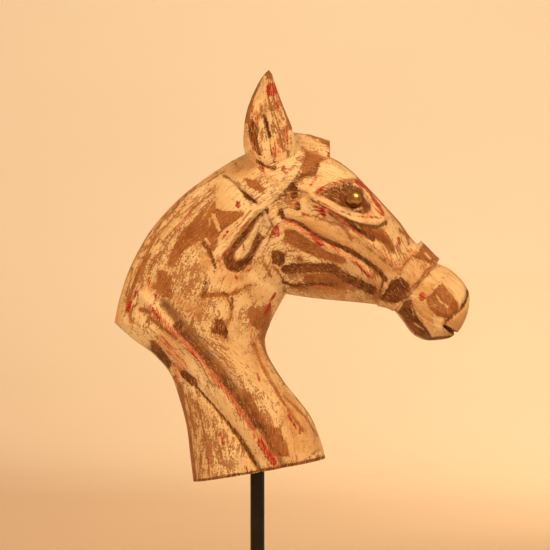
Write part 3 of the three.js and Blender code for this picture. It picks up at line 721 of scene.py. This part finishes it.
def head_mesh(nail_x, nail_z, nail_seat, chisel):
    """The loft of the head and neck with its carving.

    A point lies between the two rails of its row, the share across going as a cosine of the way
    round. Its distance from the plane of symmetry is the row's half thickness times a superellipse
    of the share, plus the carving at that place and a faint chisel ripple. The wood swells to meet
    the nail's seat by a soft bump. The noseband's rows stand out of the loft by a step.
    """
    stations = row_stations()
    (outer_x, outer_z), (inner_x, inner_z) = head_rails(stations)
    column = np.linspace(0, 1, 2 * HEAD_COLUMNS + 1)
    across = (1 - np.cos(np.pi * (1 - np.abs(1 - 2 * column)))) / 2
    hand = np.where(column < 0.5, -1, 1)

    def keyed(keys):
        """One value for each row, as a column."""
        return smooth_curve(keys, stations)

    widest = keyed(WIDEST_PLACE)
    outer_side = across < widest
    reach = np.where(outer_side, (widest - across) / widest, (across - widest) / (1 - widest))
    power = np.where(outer_side, keyed(OUTER_POWER), keyed(INNER_POWER))
    fullness = np.maximum(0, 1 - reach**power) ** (1 / power)
    closes_from, closes_to, closing = MUZZLE_CLOSES
    closed = np.clip((stations - closes_from) / (closes_to - closes_from), 0, 1)[:, None]
    thickness = keyed(HALF_THICKNESS) * (1 - closed**closing) ** (1 / closing)
    chord_x, chord_z = (inner_x - outer_x)[:, None], (inner_z - outer_z)[:, None]
    x, z = outer_x[:, None] + chord_x * across, outer_z[:, None] + chord_z * across
    along = np.concatenate([[0], np.cumsum(np.hypot(np.diff(x.mean(1)), np.diff(z.mean(1))))])[:, None]
    fade = np.minimum(1, 2 * fullness) * (thickness > 0)
    half = thickness * fullness
    carving = carved_depth(x, z) + chisel * chisel_ripple(along, across, hand)
    half = np.maximum(half + fade * carving, LEAST_HALF * half)
    from_nail = np.hypot(x - nail_x, z - nail_z)
    half = half + (nail_seat - half.ravel()[np.argmin(from_nail)]) * soft_bump(from_nail / NAIL_DISH)
    band = np.minimum(
        smooth_step(0.5 + (stations - NOSEBAND["from"]) / (2 * NOSEBAND["edge"])),
        smooth_step(0.5 - (stations - NOSEBAND["to"]) / (2 * NOSEBAND["edge"])),
    )[:, None]
    rise = band * (NOSEBAND["rise"] + (NOSEBAND["jaw_rise"] - NOSEBAND["rise"]) * across)
    spread = rise * (1 - 2 * across) / np.hypot(chord_x, chord_z)
    x, z = x - chord_x * spread, z - chord_z * spread
    y = hand * (half + NOSEBAND["side_share"] * rise * fullness)

    steps = np.linspace(0, 1, CUT_ROWS, endpoint=False)[:, None]
    x, z = (np.vstack([np.repeat(grid[:1], CUT_ROWS, 0), grid]) for grid in (x, z))
    cut_depth = np.abs(y[:1]) * (1 - steps)
    y = np.vstack([steps * y[:1], y])
    along = np.vstack([-np.max(cut_depth, 1, keepdims=True), along]) + 0 * x
    round_step = np.sqrt(np.diff(x, axis=1) ** 2 + np.diff(y, axis=1) ** 2 + np.diff(z, axis=1) ** 2)
    travel = np.hstack([np.zeros((len(x), 1)), np.cumsum(round_step, 1)])
    return closed_mesh(grid_mesh("head", x, y, z, along, np.minimum(travel, travel[:, -1:] - travel)))


def ear_mesh(hand):
    """A leaf that leans outwards: each level is an ellipse from the back edge to the front one, and
    its outer half is pressed in by the hollow times the sixth power of the sine of the angle."""
    height = np.concatenate([[0], np.linspace(0, 1, EAR["rows"])])[:, None]
    angle = np.linspace(0, 2 * np.pi, EAR["columns"] + 1)
    back, front, half, hollow = (
        smooth_curve(keys, height[:, 0]) for keys in (EAR_BACK, EAR_FRONT, EAR_HALF, EAR_HOLLOW)
    )
    half = np.maximum(half, 0)
    outwards = np.maximum(0, np.sin(angle))
    x = (front + back) / 2 + (front - back) / 2 * np.cos(angle)
    z = EAR["foot"] + (EAR["tip"] - EAR["foot"]) * height + 0 * x
    carving = carved_lines(x, z, EAR_LINES) * np.minimum(1, 2 * outwards) * (half > 1)
    cap = np.ones_like(height)
    cap[0] = 0
    depth = half * np.sin(angle) - hollow * outwards**6 + carving
    y = hand * (EAR["spread"] + EAR["splay"] * height + cap * depth)
    travel = angle / (2 * np.pi) * EAR["round"] + 0 * x
    across = np.minimum(travel, EAR["round"] - travel) + hand * EAR_MAP_SHIFT
    return closed_mesh(grid_mesh("ear", x, y, z, z, across))


def forelock_mesh():
    """A wedge of mane: its section is a squarish superellipse that widens towards its foot, with the
    strands as a faint sine wave along it."""
    way = np.concatenate([[0], np.linspace(0, 1, FORELOCK["rows"]), [1]])

    def edge_line(path):
        """x and z, as columns, along straight stretches between evenly spaced points."""
        even = np.linspace(0, 1, len(path))
        return [np.interp(way, even, values)[:, None] for values in zip(*path)]

    top, foot = edge_line(FORELOCK_TOP), edge_line(FORELOCK_FOOT)
    angle = np.linspace(0, 2 * np.pi, FORELOCK["columns"] + 1)
    up = np.sign(np.sin(angle)) * np.abs(np.sin(angle)) ** FORELOCK["square"]
    wide = np.sign(np.cos(angle)) * np.abs(np.cos(angle)) ** FORELOCK["square"]
    share = (1 - up) / 2
    x = top[0] + (foot[0] - top[0]) * share
    z = top[1] + (foot[1] - top[1]) * share
    half = FORELOCK["top_half"] + (FORELOCK["foot_half"] - FORELOCK["top_half"]) * share
    cap = np.ones((len(way), 1))
    cap[[0, -1]] = 0
    strands = FORELOCK_STRANDS["rise"] * np.sin(
        x / FORELOCK_STRANDS["pitch"] + FORELOCK_STRANDS["lean"] * share
    )
    y = cap * wide * (half + strands)
    return closed_mesh(grid_mesh("forelock", x, y, z, x, FORELOCK["round"] * share + 0 * x))


def prism_mesh(outline, low, high):
    """A flat outline in the XZ plane drawn straight from one y to the other, as a grid of two rings
    whose outer rows are folded onto the outline's middle."""
    x, z = np.array(outline + outline[:1], float).T
    rings = np.array([0, 1, 1, 0])[:, None]
    y = np.array([low, low, high, high])[:, None] + 0 * x
    x, z = (part.mean() + rings * (part - part.mean()) for part in (x, z))
    return closed_mesh(grid_mesh("prism", x, y, z, 0 * x, 0 * x))


def turned_mesh(name, profile, sides, axis="z", origin=(0, 0, 0), sense=1):
    """A profile of (radius, height) in metres carried round an axis through the origin given.

    The point at an angle is radius times its cosine and sine across the axis, and height along it;
    sense is -1 where the heights run backwards along y.
    """
    profile = np.array(profile, float)
    angle = np.linspace(0, 2 * np.pi, sides + 1)
    radius, height = profile[:, :1], profile[:, 1:] + 0 * angle
    a, b = radius * np.cos(angle), radius * np.sin(angle)
    x, y, z = (a, b, height) if axis == "z" else (a, sense * height, b)
    travel = np.concatenate([[0], np.cumsum(np.hypot(*np.diff(profile, axis=0).T))])[:, None] + 0 * a
    grid = [(values + shift) / MM for values, shift in zip((x, y, z), origin)]
    return closed_mesh(grid_mesh(name, *grid, travel / MM, profile[:, 0].max() * angle / MM + 0 * a))


# ---- The nails and the rod ----
def nail_measures(side):
    """The nail's middle, its radius, the |y| of its inner face and the height of its dome."""
    low, high = (np.array(corner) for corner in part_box(f"eye_nail_{side}"))
    inner, outer = np.sort(np.abs([low[1], high[1]]))
    return (low + high) / 2, (high[0] - low[0]) / 2, inner, outer - inner - NAIL_SUNK * MM


def nail_mesh(name, hand, grow, sides):
    """A domed nail: a short shank and a quarter-ellipse dome, turned round an axis across the head.
    It is larger by grow millimetres for the seat."""
    middle, radius, inner, dome = nail_measures("right" if hand < 0 else "left")
    grow, edge = grow * MM, NAIL_EDGE * MM
    radius += grow
    quarter = np.linspace(0, np.pi / 2, DOME_ROWS)
    profile = [(0, -grow), (radius - edge, -grow), (radius, edge - grow)]
    profile += list(zip(radius * np.cos(quarter), NAIL_SUNK * MM + (dome + grow) * np.sin(quarter)))
    return turned_mesh(name, profile, sides, "y", (middle[0], hand * inner, middle[2]), hand)


def rod_mesh(name, grow):
    """A round bar with a small bevel at each end, larger by grow millimetres for its bore."""
    low, high = (np.array(corner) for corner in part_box("support_rod"))
    grow, bevel = grow * MM, ROD_BEVEL * MM
    radius, bottom, top = (high[0] - low[0]) / 2 + grow, low[2] - grow, high[2] + grow
    levels = np.linspace(bottom + bevel, top - bevel, ROD_ROWS)
    profile = [(0, bottom), (radius - bevel, bottom)] + [(radius, level) for level in levels]
    profile += [(radius - bevel, top), (0, top)]
    middle = (low + high) / 2
    return turned_mesh(name, profile, ROD_SIDES, "z", (middle[0], middle[1], 0))


# ---- Paint ----
def paint_distances(mesh):
    """Stores, for each colour, how far each point lies inside the nearest stroke or patch of it in
    millimetres (negative outside), the depth of the carving there, from which the material paints
    shade into the grooves, and how worn the paint is."""
    points = np.empty(len(mesh.vertices) * 3)
    mesh.vertices.foreach_get("co", points)
    x, _, z = points.reshape(-1, 3).T / MM
    fields = {}
    for colour in STROKES:
        inside = np.full(len(x), -float(PAINT_REACH))
        for half, path in STROKES[colour]:
            near = near_outline(x, z, path, PAINT_REACH)
            inside[near] = np.maximum(inside[near], half - path_distance(x[near], z[near], path))
        for outline in PATCHES[colour]:
            near = near_outline(x, z, outline, PAINT_REACH)
            inside[near] = np.maximum(inside[near], depth_inside(x[near], z[near], outline))
        fields[colour] = inside
    worn = np.full(len(x), WORN_EVERYWHERE)
    for amount, outline in WORN_AREAS:
        worn = np.maximum(worn, amount * smooth_step(0.5 + depth_inside(x, z, outline) / (2 * SOFT_EDGE)))
    fields["worn"] = worn
    fields["carving"] = carved_depth(x, z)
    for name, values in fields.items():
        mesh.attributes.new(name, "FLOAT", "POINT").data.foreach_set("value", values.astype(np.float32))


# ---- Materials ----
class Graph:
    """A short way to write a material's nodes: an input is either a number, a colour or a socket."""

    def __init__(self, name):
        self.material = bpy.data.materials.new(name)
        self.material.use_nodes = True
        self.tree = self.material.node_tree
        self.surface = self.tree.nodes["Principled BSDF"]
        self.coordinates = self.tree.nodes.new("ShaderNodeTexCoord")

    def feed(self, socket, value):
        """Links another socket to this one, or sets this one's own value."""
        if isinstance(value, bpy.types.NodeSocket):
            self.tree.links.new(value, socket)
        else:
            socket.default_value = value

    def attribute(self, name):
        """One of the numbers that paint_distances keeps at each point."""
        node = self.tree.nodes.new("ShaderNodeAttribute")
        node.attribute_name = name
        return node.outputs["Fac"]

    def math(self, operation, first, second=0.0, third=0.0):
        """One operation on up to three values."""
        node = self.tree.nodes.new("ShaderNodeMath")
        node.operation = operation
        for socket, value in zip(node.inputs, (first, second, third)):
            self.feed(socket, value)
        return node.outputs[0]

    def stretched(self, vector, scale):
        """Coordinates multiplied by a scale for each axis."""
        node = self.tree.nodes.new("ShaderNodeMapping")
        self.feed(node.inputs["Vector"], vector)
        node.inputs["Scale"].default_value = scale
        return node.outputs["Vector"]

    def noise(self, vector, scale, detail=2.0, roughness=0.5, distortion=0.0):
        """Smooth noise from 0 to 1."""
        node = self.tree.nodes.new("ShaderNodeTexNoise")
        self.feed(node.inputs["Vector"], vector)
        for socket, value in (
            ("Scale", scale), ("Detail", detail), ("Roughness", roughness), ("Distortion", distortion),
        ):
            node.inputs[socket].default_value = value
        return node.outputs["Fac"]

    def ramp(self, value, low, high, to_low=0.0, to_high=1.0):
        """The value carried from low..high to to_low..to_high, and held there beyond the ends."""
        node = self.tree.nodes.new("ShaderNodeMapRange")
        for socket, number in zip(node.inputs, (value, low, high, to_low, to_high)):
            self.feed(socket, number)
        return node.outputs["Result"]

    def mix(self, share, first, second):
        """The first colour where the share is 0 and the second where it is 1."""
        node = self.tree.nodes.new("ShaderNodeMix")
        node.data_type = "RGBA"
        self.feed(node.inputs["Factor"], share)
        self.feed(node.inputs["A"], first)
        self.feed(node.inputs["B"], second)
        return node.outputs["Result"]

    def bump(self, height, distance, strength):
        """Tilts the shading as if the surface rose by the height times the distance in metres."""
        node = self.tree.nodes.new("ShaderNodeBump")
        node.inputs["Strength"].default_value = strength
        node.inputs["Distance"].default_value = distance
        self.feed(node.inputs["Height"], height)
        self.feed(self.surface.inputs["Normal"], node.outputs["Normal"])

    def finish(self, **inputs):
        """Sets the surface's own inputs and gives the material."""
        for name, value in inputs.items():
            self.feed(self.surface.inputs[name.replace("_", " ").title().replace("Ior", "IOR")], value)
        return self.material


def opaque(colour):
    """The colour with full cover added."""
    return (*colour, 1.0)


def painted_wood(finish):
    """Worn paint over stained wood. Each colour's distance is pushed in and out by streaks along the
    grain and by blotches, and cut at 0, so that its strokes have a dragged, broken edge. Stained
    flecks and dabs show through wherever the paint is worn, more of them close to the brown. The
    dark colour is stain in some strokes and painted shade in others, and it paints shade into the
    carving's grooves by their depth."""
    graph = Graph("painted_wood")
    grain = graph.coordinates.outputs["UV"]
    place = graph.coordinates.outputs["Object"]
    broad = graph.noise(graph.stretched(grain, BROAD_STREAKS), 1, 5, 0.65, 0.9)
    streak = graph.noise(graph.stretched(grain, STREAKS), 1, 4, 0.65, 0.7)
    hair = graph.noise(graph.stretched(grain, HAIR_STREAKS), 1, 3, 0.6, 0.5)
    dab = graph.noise(graph.stretched(grain, DABS), 1, 4, 0.62, 1.4)
    speck = graph.noise(place, SPECKS, 3, 0.65)
    blotch = graph.noise(place, BLOTCHES, 5, 0.62, 0.6)
    cloud = graph.noise(place, CLOUDS, 3, 0.55)
    stray = graph.noise(place, STRAY_PINK, 4, 0.6, 0.8)
    worn = graph.attribute("worn")
    new_cream, aged_cream = opaque(finish.cream), opaque(finish.aged_cream)
    brown, light_brown = opaque(finish.brown), opaque(finish.light_brown)
    light_tan, pink, red = opaque(finish.light_tan), opaque(finish.pink), opaque(finish.red)

    def blend(*parts):
        """The sum of noises, each less its mean of a half, times its weight."""
        total = 0.0
        for noise, weight in parts:
            total = graph.math("MULTIPLY_ADD", graph.math("SUBTRACT", noise, 0.5), weight, total)
        return total

    def shaded(noises, low, high, first, second, most=1.0):
        """One colour that turns to another as the blend of the noises goes from low to high."""
        return graph.mix(graph.ramp(blend(*noises), low, high, 0, most), first, second)

    def times(first, second):
        """One number or socket times another."""
        return graph.math("MULTIPLY", first, second)

    rough_edge = blend((broad, 4), (streak, 4.5), (blotch, 4), (speck, 4))

    def pushed(distance, amount):
        """A distance in millimetres moved in and out by the rough edge."""
        return graph.math("MULTIPLY_ADD", rough_edge, amount, distance)

    def edge(colour, roughness, softness=0.45):
        """1 inside a colour and 0 outside it."""
        return graph.ramp(pushed(graph.attribute(colour), roughness), -softness, softness)

    cream = graph.mix(graph.ramp(cloud, 0.35, 0.65), new_cream, aged_cream)
    cream = shaded([(streak, 1), (speck, 0.6)], -0.02, 0.14, cream, aged_cream, 0.7)
    bare = shaded([(streak, 1), (blotch, 0.7)], -0.1, 0.12, brown, light_brown)
    dark = shaded([(hair, 1), (blotch, 1)], -0.06, 0.16, opaque(finish.dark), brown)
    tan = shaded([(hair, 1), (broad, 1)], -0.12, 0.12, opaque(finish.tan), light_tan)
    rosy = shaded([(hair, 1), (streak, 1)], 0, 0.09, pink, red)

    # Cream worn through in scratches and dabs, with tan round the brown and dark strokes of stain and
    # painted shade.
    stain_and_shade_distance = graph.math("MAXIMUM", graph.attribute("brown"), graph.attribute("dark"))
    halo = graph.ramp(pushed(stain_and_shade_distance, 0.8), -3.4, 0.8)
    scratches = blend((hair, 0.4), (streak, 0.3), (speck, 0.55), (broad, 0.3), (blotch, 0.55))
    scratches = graph.math("ADD", scratches, graph.ramp(worn, 0, 1, -0.2, 0.05))
    dabs = blend((dab, 1), (streak, 0.45), (speck, 0.3))
    dabs = graph.math("ADD", dabs, graph.ramp(worn, 0, 1, -0.2, -0.03))
    bared = graph.math("MULTIPLY_ADD", halo, 0.05, graph.math("MAXIMUM", scratches, dabs))
    flecks = graph.ramp(bared, -0.006, 0.034, 0, 0.88)
    colour = graph.mix(times(halo, 0.5), cream, tan)
    colour = graph.mix(flecks, colour, bare)

    # The strokes and patches, one colour over another.
    tan_mask = times(edge("tan", 1.2, 2.2), graph.ramp(flecks, 0, 1, 0.8, 0.35))
    colour = graph.mix(tan_mask, colour, tan)
    brown_mask = edge("brown", 0.8)
    colour = graph.mix(brown_mask, colour, bare)
    # Painted shade in the carving's grooves: the dark colour comes in where the carving sinks deeper than
    # 2.1 mm and reaches 0.85 at 3.8 mm.
    hollow = graph.ramp(pushed(graph.attribute("carving"), 0.8), -2.1, -3.8, 0, 0.85)
    dark_stain_and_shade_mask = graph.math("MAXIMUM", edge("dark", 0.7), hollow)
    colour = graph.mix(dark_stain_and_shade_mask, colour, dark)
    # Brown stain, dark stain and painted shade together.
    stain_and_shade_mask = graph.math("MAXIMUM", brown_mask, dark_stain_and_shade_mask)
    left_over = graph.ramp(blend((hair, 1), (speck, 0.7), (streak, -0.5)), 0.1, 0.16, 0, 0.5)
    colour = graph.mix(times(stain_and_shade_mask, left_over), colour, light_tan)
    cream_mask = times(edge("cream", 0.6), graph.ramp(flecks, 0, 1, 1, 0.45))
    colour = graph.mix(cream_mask, colour, cream)
    torn = graph.ramp(blend((streak, 1), (speck, 0.8)), -0.09, 0.03, 0.25, 0.9)
    colour = graph.mix(times(edge("pink", 0.7, 0.6), torn), colour, rosy)
    stray_mask = times(graph.ramp(stray, 0.58, 0.66, 0, 0.75), graph.ramp(hair, 0.52, 0.6))
    colour = graph.mix(stray_mask, colour, pink)
    scarlet = times(edge("red", 0.5), graph.ramp(torn, 0.25, 0.9, 0.65, 1))
    colour = graph.mix(scarlet, colour, red)

    # Whole paint is a little higher and duller than the wood.
    paint_left = graph.math("SUBTRACT", 1.0, graph.math("MAXIMUM", stain_and_shade_mask, flecks))
    rough_wood = blend((hair, 0.5), (streak, 0.7), (blotch, 0.8))
    graph.bump(graph.math("ADD", times(paint_left, 0.3), rough_wood), 0.0012, 0.8)
    roughness = graph.ramp(paint_left, 0, 1, 0.5, 0.66)
    return graph.finish(base_color=colour, roughness=roughness, specular_ior_level=0.3)


def aged_brass(finish, middle):
    """Polished yellow brass with small dents and a thin brown film, and a painted dark reflection on the
    lower half.
    """
    graph = Graph("eye_brass")
    place = graph.coordinates.outputs["Object"]
    film = graph.noise(place, 260, 3, 0.6)
    parts = graph.tree.nodes.new("ShaderNodeSeparateXYZ")
    graph.feed(parts.inputs[0], place)
    # Painted reflection: the dome turns dark below its middle, its edge moved a little by the film's noise.
    above_middle = graph.math("SUBTRACT", parts.outputs["Z"], middle[2])
    pushed = graph.math("MULTIPLY_ADD", graph.math("SUBTRACT", film, 0.5), 0.006, above_middle)
    brass, light_brown = opaque(finish.brass), opaque(finish.light_brown)
    colour = graph.mix(graph.ramp(film, 0.5, 0.75, 0, 0.5), brass, light_brown)
    colour = graph.mix(graph.ramp(pushed, -0.0006, -0.0036), colour, opaque(finish.dark))
    graph.bump(graph.noise(place, 420, 2), 0.0003, 0.5)
    return graph.finish(base_color=colour, metallic=1.0, roughness=graph.ramp(film, 0.3, 0.7, 0.24, 0.42))


def black_steel(finish):
    """Satin black paint with the faint orange-peel of a sprayed coat and slightly rubbed patches."""
    graph = Graph("black_steel")
    place = graph.coordinates.outputs["Object"]
    rub = graph.noise(place, 45, 4, 0.6)
    steel, rubbed_steel = opaque(finish.steel), opaque(finish.rubbed_steel)
    colour = graph.mix(graph.ramp(rub, 0.5, 0.8, 0, 0.5), steel, rubbed_steel)
    graph.bump(graph.noise(place, 900, 2), 0.0002, 0.35)
    return graph.finish(base_color=colour, metallic=0.3, roughness=graph.ramp(rub, 0.3, 0.7, 0.36, 0.52))


# ---- Settings ----
def colour_setting(name, description, default):
    """A colour as three numbers from 0 to 1."""
    return FloatVectorProperty(
        name=name, description=description, default=default, subtype="COLOR", size=3, min=0, max=1
    )


def length_setting(name, description, default, least, most):
    """A length in metres."""
    return FloatProperty(
        name=name, description=description, default=default, min=least, max=most, unit="LENGTH"
    )


def power_setting(name, description, default):
    """A lamp's power in watts."""
    return FloatProperty(
        name=name, description=description, default=default, min=0, max=1000, unit="POWER"
    )


class HorseFinish(PropertyGroup):
    """Colours of the paint, the wood, the brass and the steel"""

    cream: colour_setting("Cream", "Newest pale paint", (0.96, 0.86, 0.61))
    aged_cream: colour_setting("Aged cream", "Pale paint that has yellowed", (0.8, 0.59, 0.34))
    light_tan: colour_setting("Light tan", "Thin paint over wood", (0.81, 0.56, 0.29))
    tan: colour_setting("Tan", "Rubbed bare wood", (0.66, 0.37, 0.17))
    light_brown: colour_setting("Light brown", "Stain rubbed thin", (0.44, 0.19, 0.075))
    brown: colour_setting("Brown", "Stained wood", (0.28, 0.105, 0.03))
    # Dark: stain, and the painted shade in the wood's grooves and recesses; on the nails, a painted dark
    # reflection.
    dark: colour_setting("Dark", "Stain left in the hollows", (0.12, 0.038, 0.011))
    pink: colour_setting("Pink", "Red paint rubbed thin", (0.76, 0.36, 0.2))
    red: colour_setting("Red", "Full red paint", (0.44, 0.022, 0.016))
    brass: colour_setting("Brass", "The nails in the eyes", (0.72, 0.5, 0.17))
    steel: colour_setting("Steel", "The stand's black paint", (0.012, 0.011, 0.01))
    rubbed_steel: colour_setting("Rubbed steel", "The stand's rubbed paint", (0.05, 0.045, 0.04))


class HorseShape(PropertyGroup):
    """Small details of the shape"""

    chisel: FloatProperty(
        name="Chisel marks", description="Height of the faint ripple left by the chisel, in millimetres",
        default=0.16, min=0, max=1,
    )
    nail_sides: IntProperty(
        name="Nail sides", description="Sides of the round nails", default=72, min=12, max=256
    )


class HorseStage(PropertyGroup):
    """The camera, the backdrop and the lights"""

    view_width: length_setting("View width", "Width of what the camera sees at the horse", 0.4675, 0.1, 3)
    distance: length_setting("Distance", "From the camera to the horse", 2.9, 0.5, 3.1)
    aim_behind: length_setting(
        "Aim behind", "How far behind the middle of the head the camera aims", 0.0148, -0.2, 0.2
    )
    aim_above: length_setting(
        "Aim above", "How far above the middle of the head the camera aims", 0.0012, -0.2, 0.2
    )
    room: length_setting("Room", "Radius of the round backdrop", 5.2, 5.2, 10)
    wall: colour_setting("Wall", "Floor and backdrop", (0.86, 0.79, 0.74))
    light: colour_setting("Light", "Colour of the lights on the horse and the floor", (1.0, 0.66, 0.33))
    wash_colour: colour_setting("Wall light's colour", "Colour of the wall light", (1.0, 0.86, 0.53))
    sky_colour: colour_setting("Sky colour", "Colour of the light from all around", (1.0, 0.42, 0.17))
    sky: FloatProperty(
        name="Sky", description="Strength of the light from all around", default=0.3, min=0, max=10
    )
    key: power_setting("Key light", "Power of the large soft light", 30)
    fill: power_setting("Fill light", "Power of the light on the neck", 8)
    wall_wash: power_setting("Wall light", "Power of the light on the wall", 38)
    floor_wash: power_setting("Floor light", "Power of the light on the floor", 16)


# ---- Operators ----
class HORSE_OT_head(Operator):
    """Carve the head with its ears, forelock and noseband, and paint it"""

    bl_idname = "horse.head"
    bl_label = "Carve the head"

    def execute(self, context):
        nail, _, inner, _ = nail_measures("right")
        nail_seat = inner / MM + NAIL_SUNK + WOOD_OVER_RIM
        mesh = head_mesh(nail[0] / MM, nail[2] / MM, nail_seat, context.scene.horse_shape.chisel)
        mesh = boolean(mesh, forelock_mesh(), "UNION")
        for hand in (-1, 1):
            mesh = boolean(mesh, ear_mesh(hand), "UNION")
            mesh = boolean(mesh, nail_mesh("seat", hand, CLEARANCE, SEAT_SIDES), "DIFFERENCE")
            low, high = sorted((hand * MOUTH_WEB, hand * MOUTH_REACH))
            mesh = boolean(mesh, prism_mesh(MOUTH_SLOT, low, high), "DIFFERENCE")
        mesh = boolean(mesh, prism_mesh(MOUTH_NOTCH, -MOUTH_REACH, MOUTH_REACH), "DIFFERENCE")
        mesh = boolean(mesh, rod_mesh("bore", CLEARANCE), "DIFFERENCE")
        paint_distances(mesh)
        shade(mesh, WOOD_SHARP)
        finish = painted_wood(context.scene.horse_finish)
        add_piece("carved_head", mesh, finish, "painted_wood", "horse_head")
        return {"FINISHED"}


class HORSE_OT_nails(Operator):
    """Drive a domed brass nail into each eye"""

    bl_idname = "horse.nails"
    bl_label = "Drive the nails"

    def execute(self, context):
        material = aged_brass(context.scene.horse_finish, nail_measures("right")[0])
        for side, hand in (("right", -1), ("left", 1)):
            mesh = nail_mesh("nail", hand, 0, context.scene.horse_shape.nail_sides)
            shade(mesh, BRASS_SHARP)
            add_piece(f"brass_nail_{side}", mesh, material, "eye_brass", f"eye_nail_{side}")
        return {"FINISHED"}


class HORSE_OT_stand(Operator):
    """Make the steel rod and give the plate its black paint"""

    bl_idname = "horse.stand"
    bl_label = "Make the stand"

    def execute(self, context):
        material = black_steel(context.scene.horse_finish)
        mesh = rod_mesh("rod", 0)
        shade(mesh, STEEL_SHARP)
        add_piece("steel_rod", mesh, material, "black_steel", "support_rod")
        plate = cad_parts["base_plate"]
        for slot in plate.material_slots:
            slot.material = material
        return {"FINISHED"}


def area_light(context, name, power, colour, middle):
    """A soft round light, placed as LIGHTS says, that shows in reflections only if it is glossy."""
    light_place = LIGHTS[name]
    data = bpy.data.lights.new(name, "AREA")
    data.shape = "DISK"
    data.size = light_place["size"]
    data.spread = np.radians(light_place["beam"])
    data.energy = power
    data.color = colour
    light = bpy.data.objects.new(name, data)
    light.location = light_place["place"]
    aim = Vector(light_place.get("aim", middle)) - Vector(light_place["place"])
    light.rotation_euler = aim.to_track_quat("-Z", "Y").to_euler()
    light.visible_camera = False
    light.visible_glossy = light_place.get("glossy", False)
    context.scene.collection.objects.link(light)


class HORSE_OT_stage(Operator):
    """Set up the floor and backdrop, the soft lights and the camera"""

    bl_idname = "horse.stage"
    bl_label = "Set the stage"

    def execute(self, context):
        stage = context.scene.horse_stage
        context.scene.collection.objects.link(self.backdrop(stage))
        world = bpy.data.worlds.new("soft_sky")
        world.use_nodes = True
        background = world.node_tree.nodes["Background"]
        background.inputs["Color"].default_value = opaque(stage.sky_colour)
        background.inputs["Strength"].default_value = stage.sky
        context.scene.world = world
        context.scene.view_settings.view_transform = "Standard"
        middle = (HEAD_LOW + HEAD_HIGH) / 2
        for name in LIGHTS:
            colour = stage.wash_colour if name == "wall_wash" else stage.light
            area_light(context, name, getattr(stage, name), colour, middle)
        aim = Vector((middle[0] - stage.aim_behind, 0, middle[2] + stage.aim_above))
        camera = bpy.data.objects.new("camera", bpy.data.cameras.new("camera"))
        camera.data.lens = camera.data.sensor_width * stage.distance / stage.view_width
        camera.data.clip_end = 30
        camera.location = aim - Vector((0, stage.distance, 0))
        camera.rotation_euler = (np.pi / 2, 0, 0)
        context.scene.collection.objects.link(camera)
        context.scene.camera = camera
        return {"FINISHED"}

    def backdrop(self, stage):
        """A round floor that curves up into a wall, one profile carried round the horse."""
        bend = BACKDROP["bend"]
        quarter = np.linspace(0, np.pi / 2, BACKDROP["rows"])
        curve = zip(stage.room - bend + bend * np.sin(quarter), bend * (1 - np.cos(quarter)))
        profile = [(0, 0), *curve, (stage.room, BACKDROP["top"])]
        mesh = turned_mesh("backdrop", profile, BACKDROP["sides"])
        mesh.flip_normals()
        mesh.shade_smooth()
        graph = Graph("pale_backdrop")
        mottle = graph.noise(graph.coordinates.outputs["Object"], 1.3, 2)
        darker = tuple(0.97 * part for part in stage.wall)
        colour = graph.mix(graph.ramp(mottle, 0.3, 0.7), opaque(stage.wall), opaque(darker))
        mesh.materials.append(graph.finish(base_color=colour, roughness=0.9))
        backdrop = bpy.data.objects.new("backdrop", mesh)
        return backdrop


class HORSE_PT_panel(Panel):
    """The horse's settings and the buttons that make its pieces and the stage"""

    bl_idname = "HORSE_PT_panel"
    bl_label = "Carved horse head"
    bl_space_type = "VIEW_3D"
    bl_region_type = "UI"
    bl_category = "Horse"

    def draw(self, context):
        for settings in (context.scene.horse_shape, context.scene.horse_finish, context.scene.horse_stage):
            for name in settings.bl_rna.properties.keys():
                if name not in ("name", "rna_type"):
                    self.layout.prop(settings, name)
        for operator in OPERATORS:
            self.layout.operator(operator.bl_idname)


OPERATORS = (HORSE_OT_head, HORSE_OT_nails, HORSE_OT_stand, HORSE_OT_stage)
SETTINGS = {"horse_shape": HorseShape, "horse_finish": HorseFinish, "horse_stage": HorseStage}


def register():
    for cls in (*SETTINGS.values(), *OPERATORS, HORSE_PT_panel):
        bpy.utils.register_class(cls)
    for name, cls in SETTINGS.items():
        setattr(bpy.types.Scene, name, PointerProperty(type=cls))


def unregister():
    for name in SETTINGS:
        delattr(bpy.types.Scene, name)
    for cls in (HORSE_PT_panel, *reversed(OPERATORS), *SETTINGS.values()):
        bpy.utils.unregister_class(cls)


def main():
    register()
    bpy.ops.horse.head()
    bpy.ops.horse.nails()
    bpy.ops.horse.stand()
    bpy.ops.horse.stage()


if __name__ == "__main__":
    main()
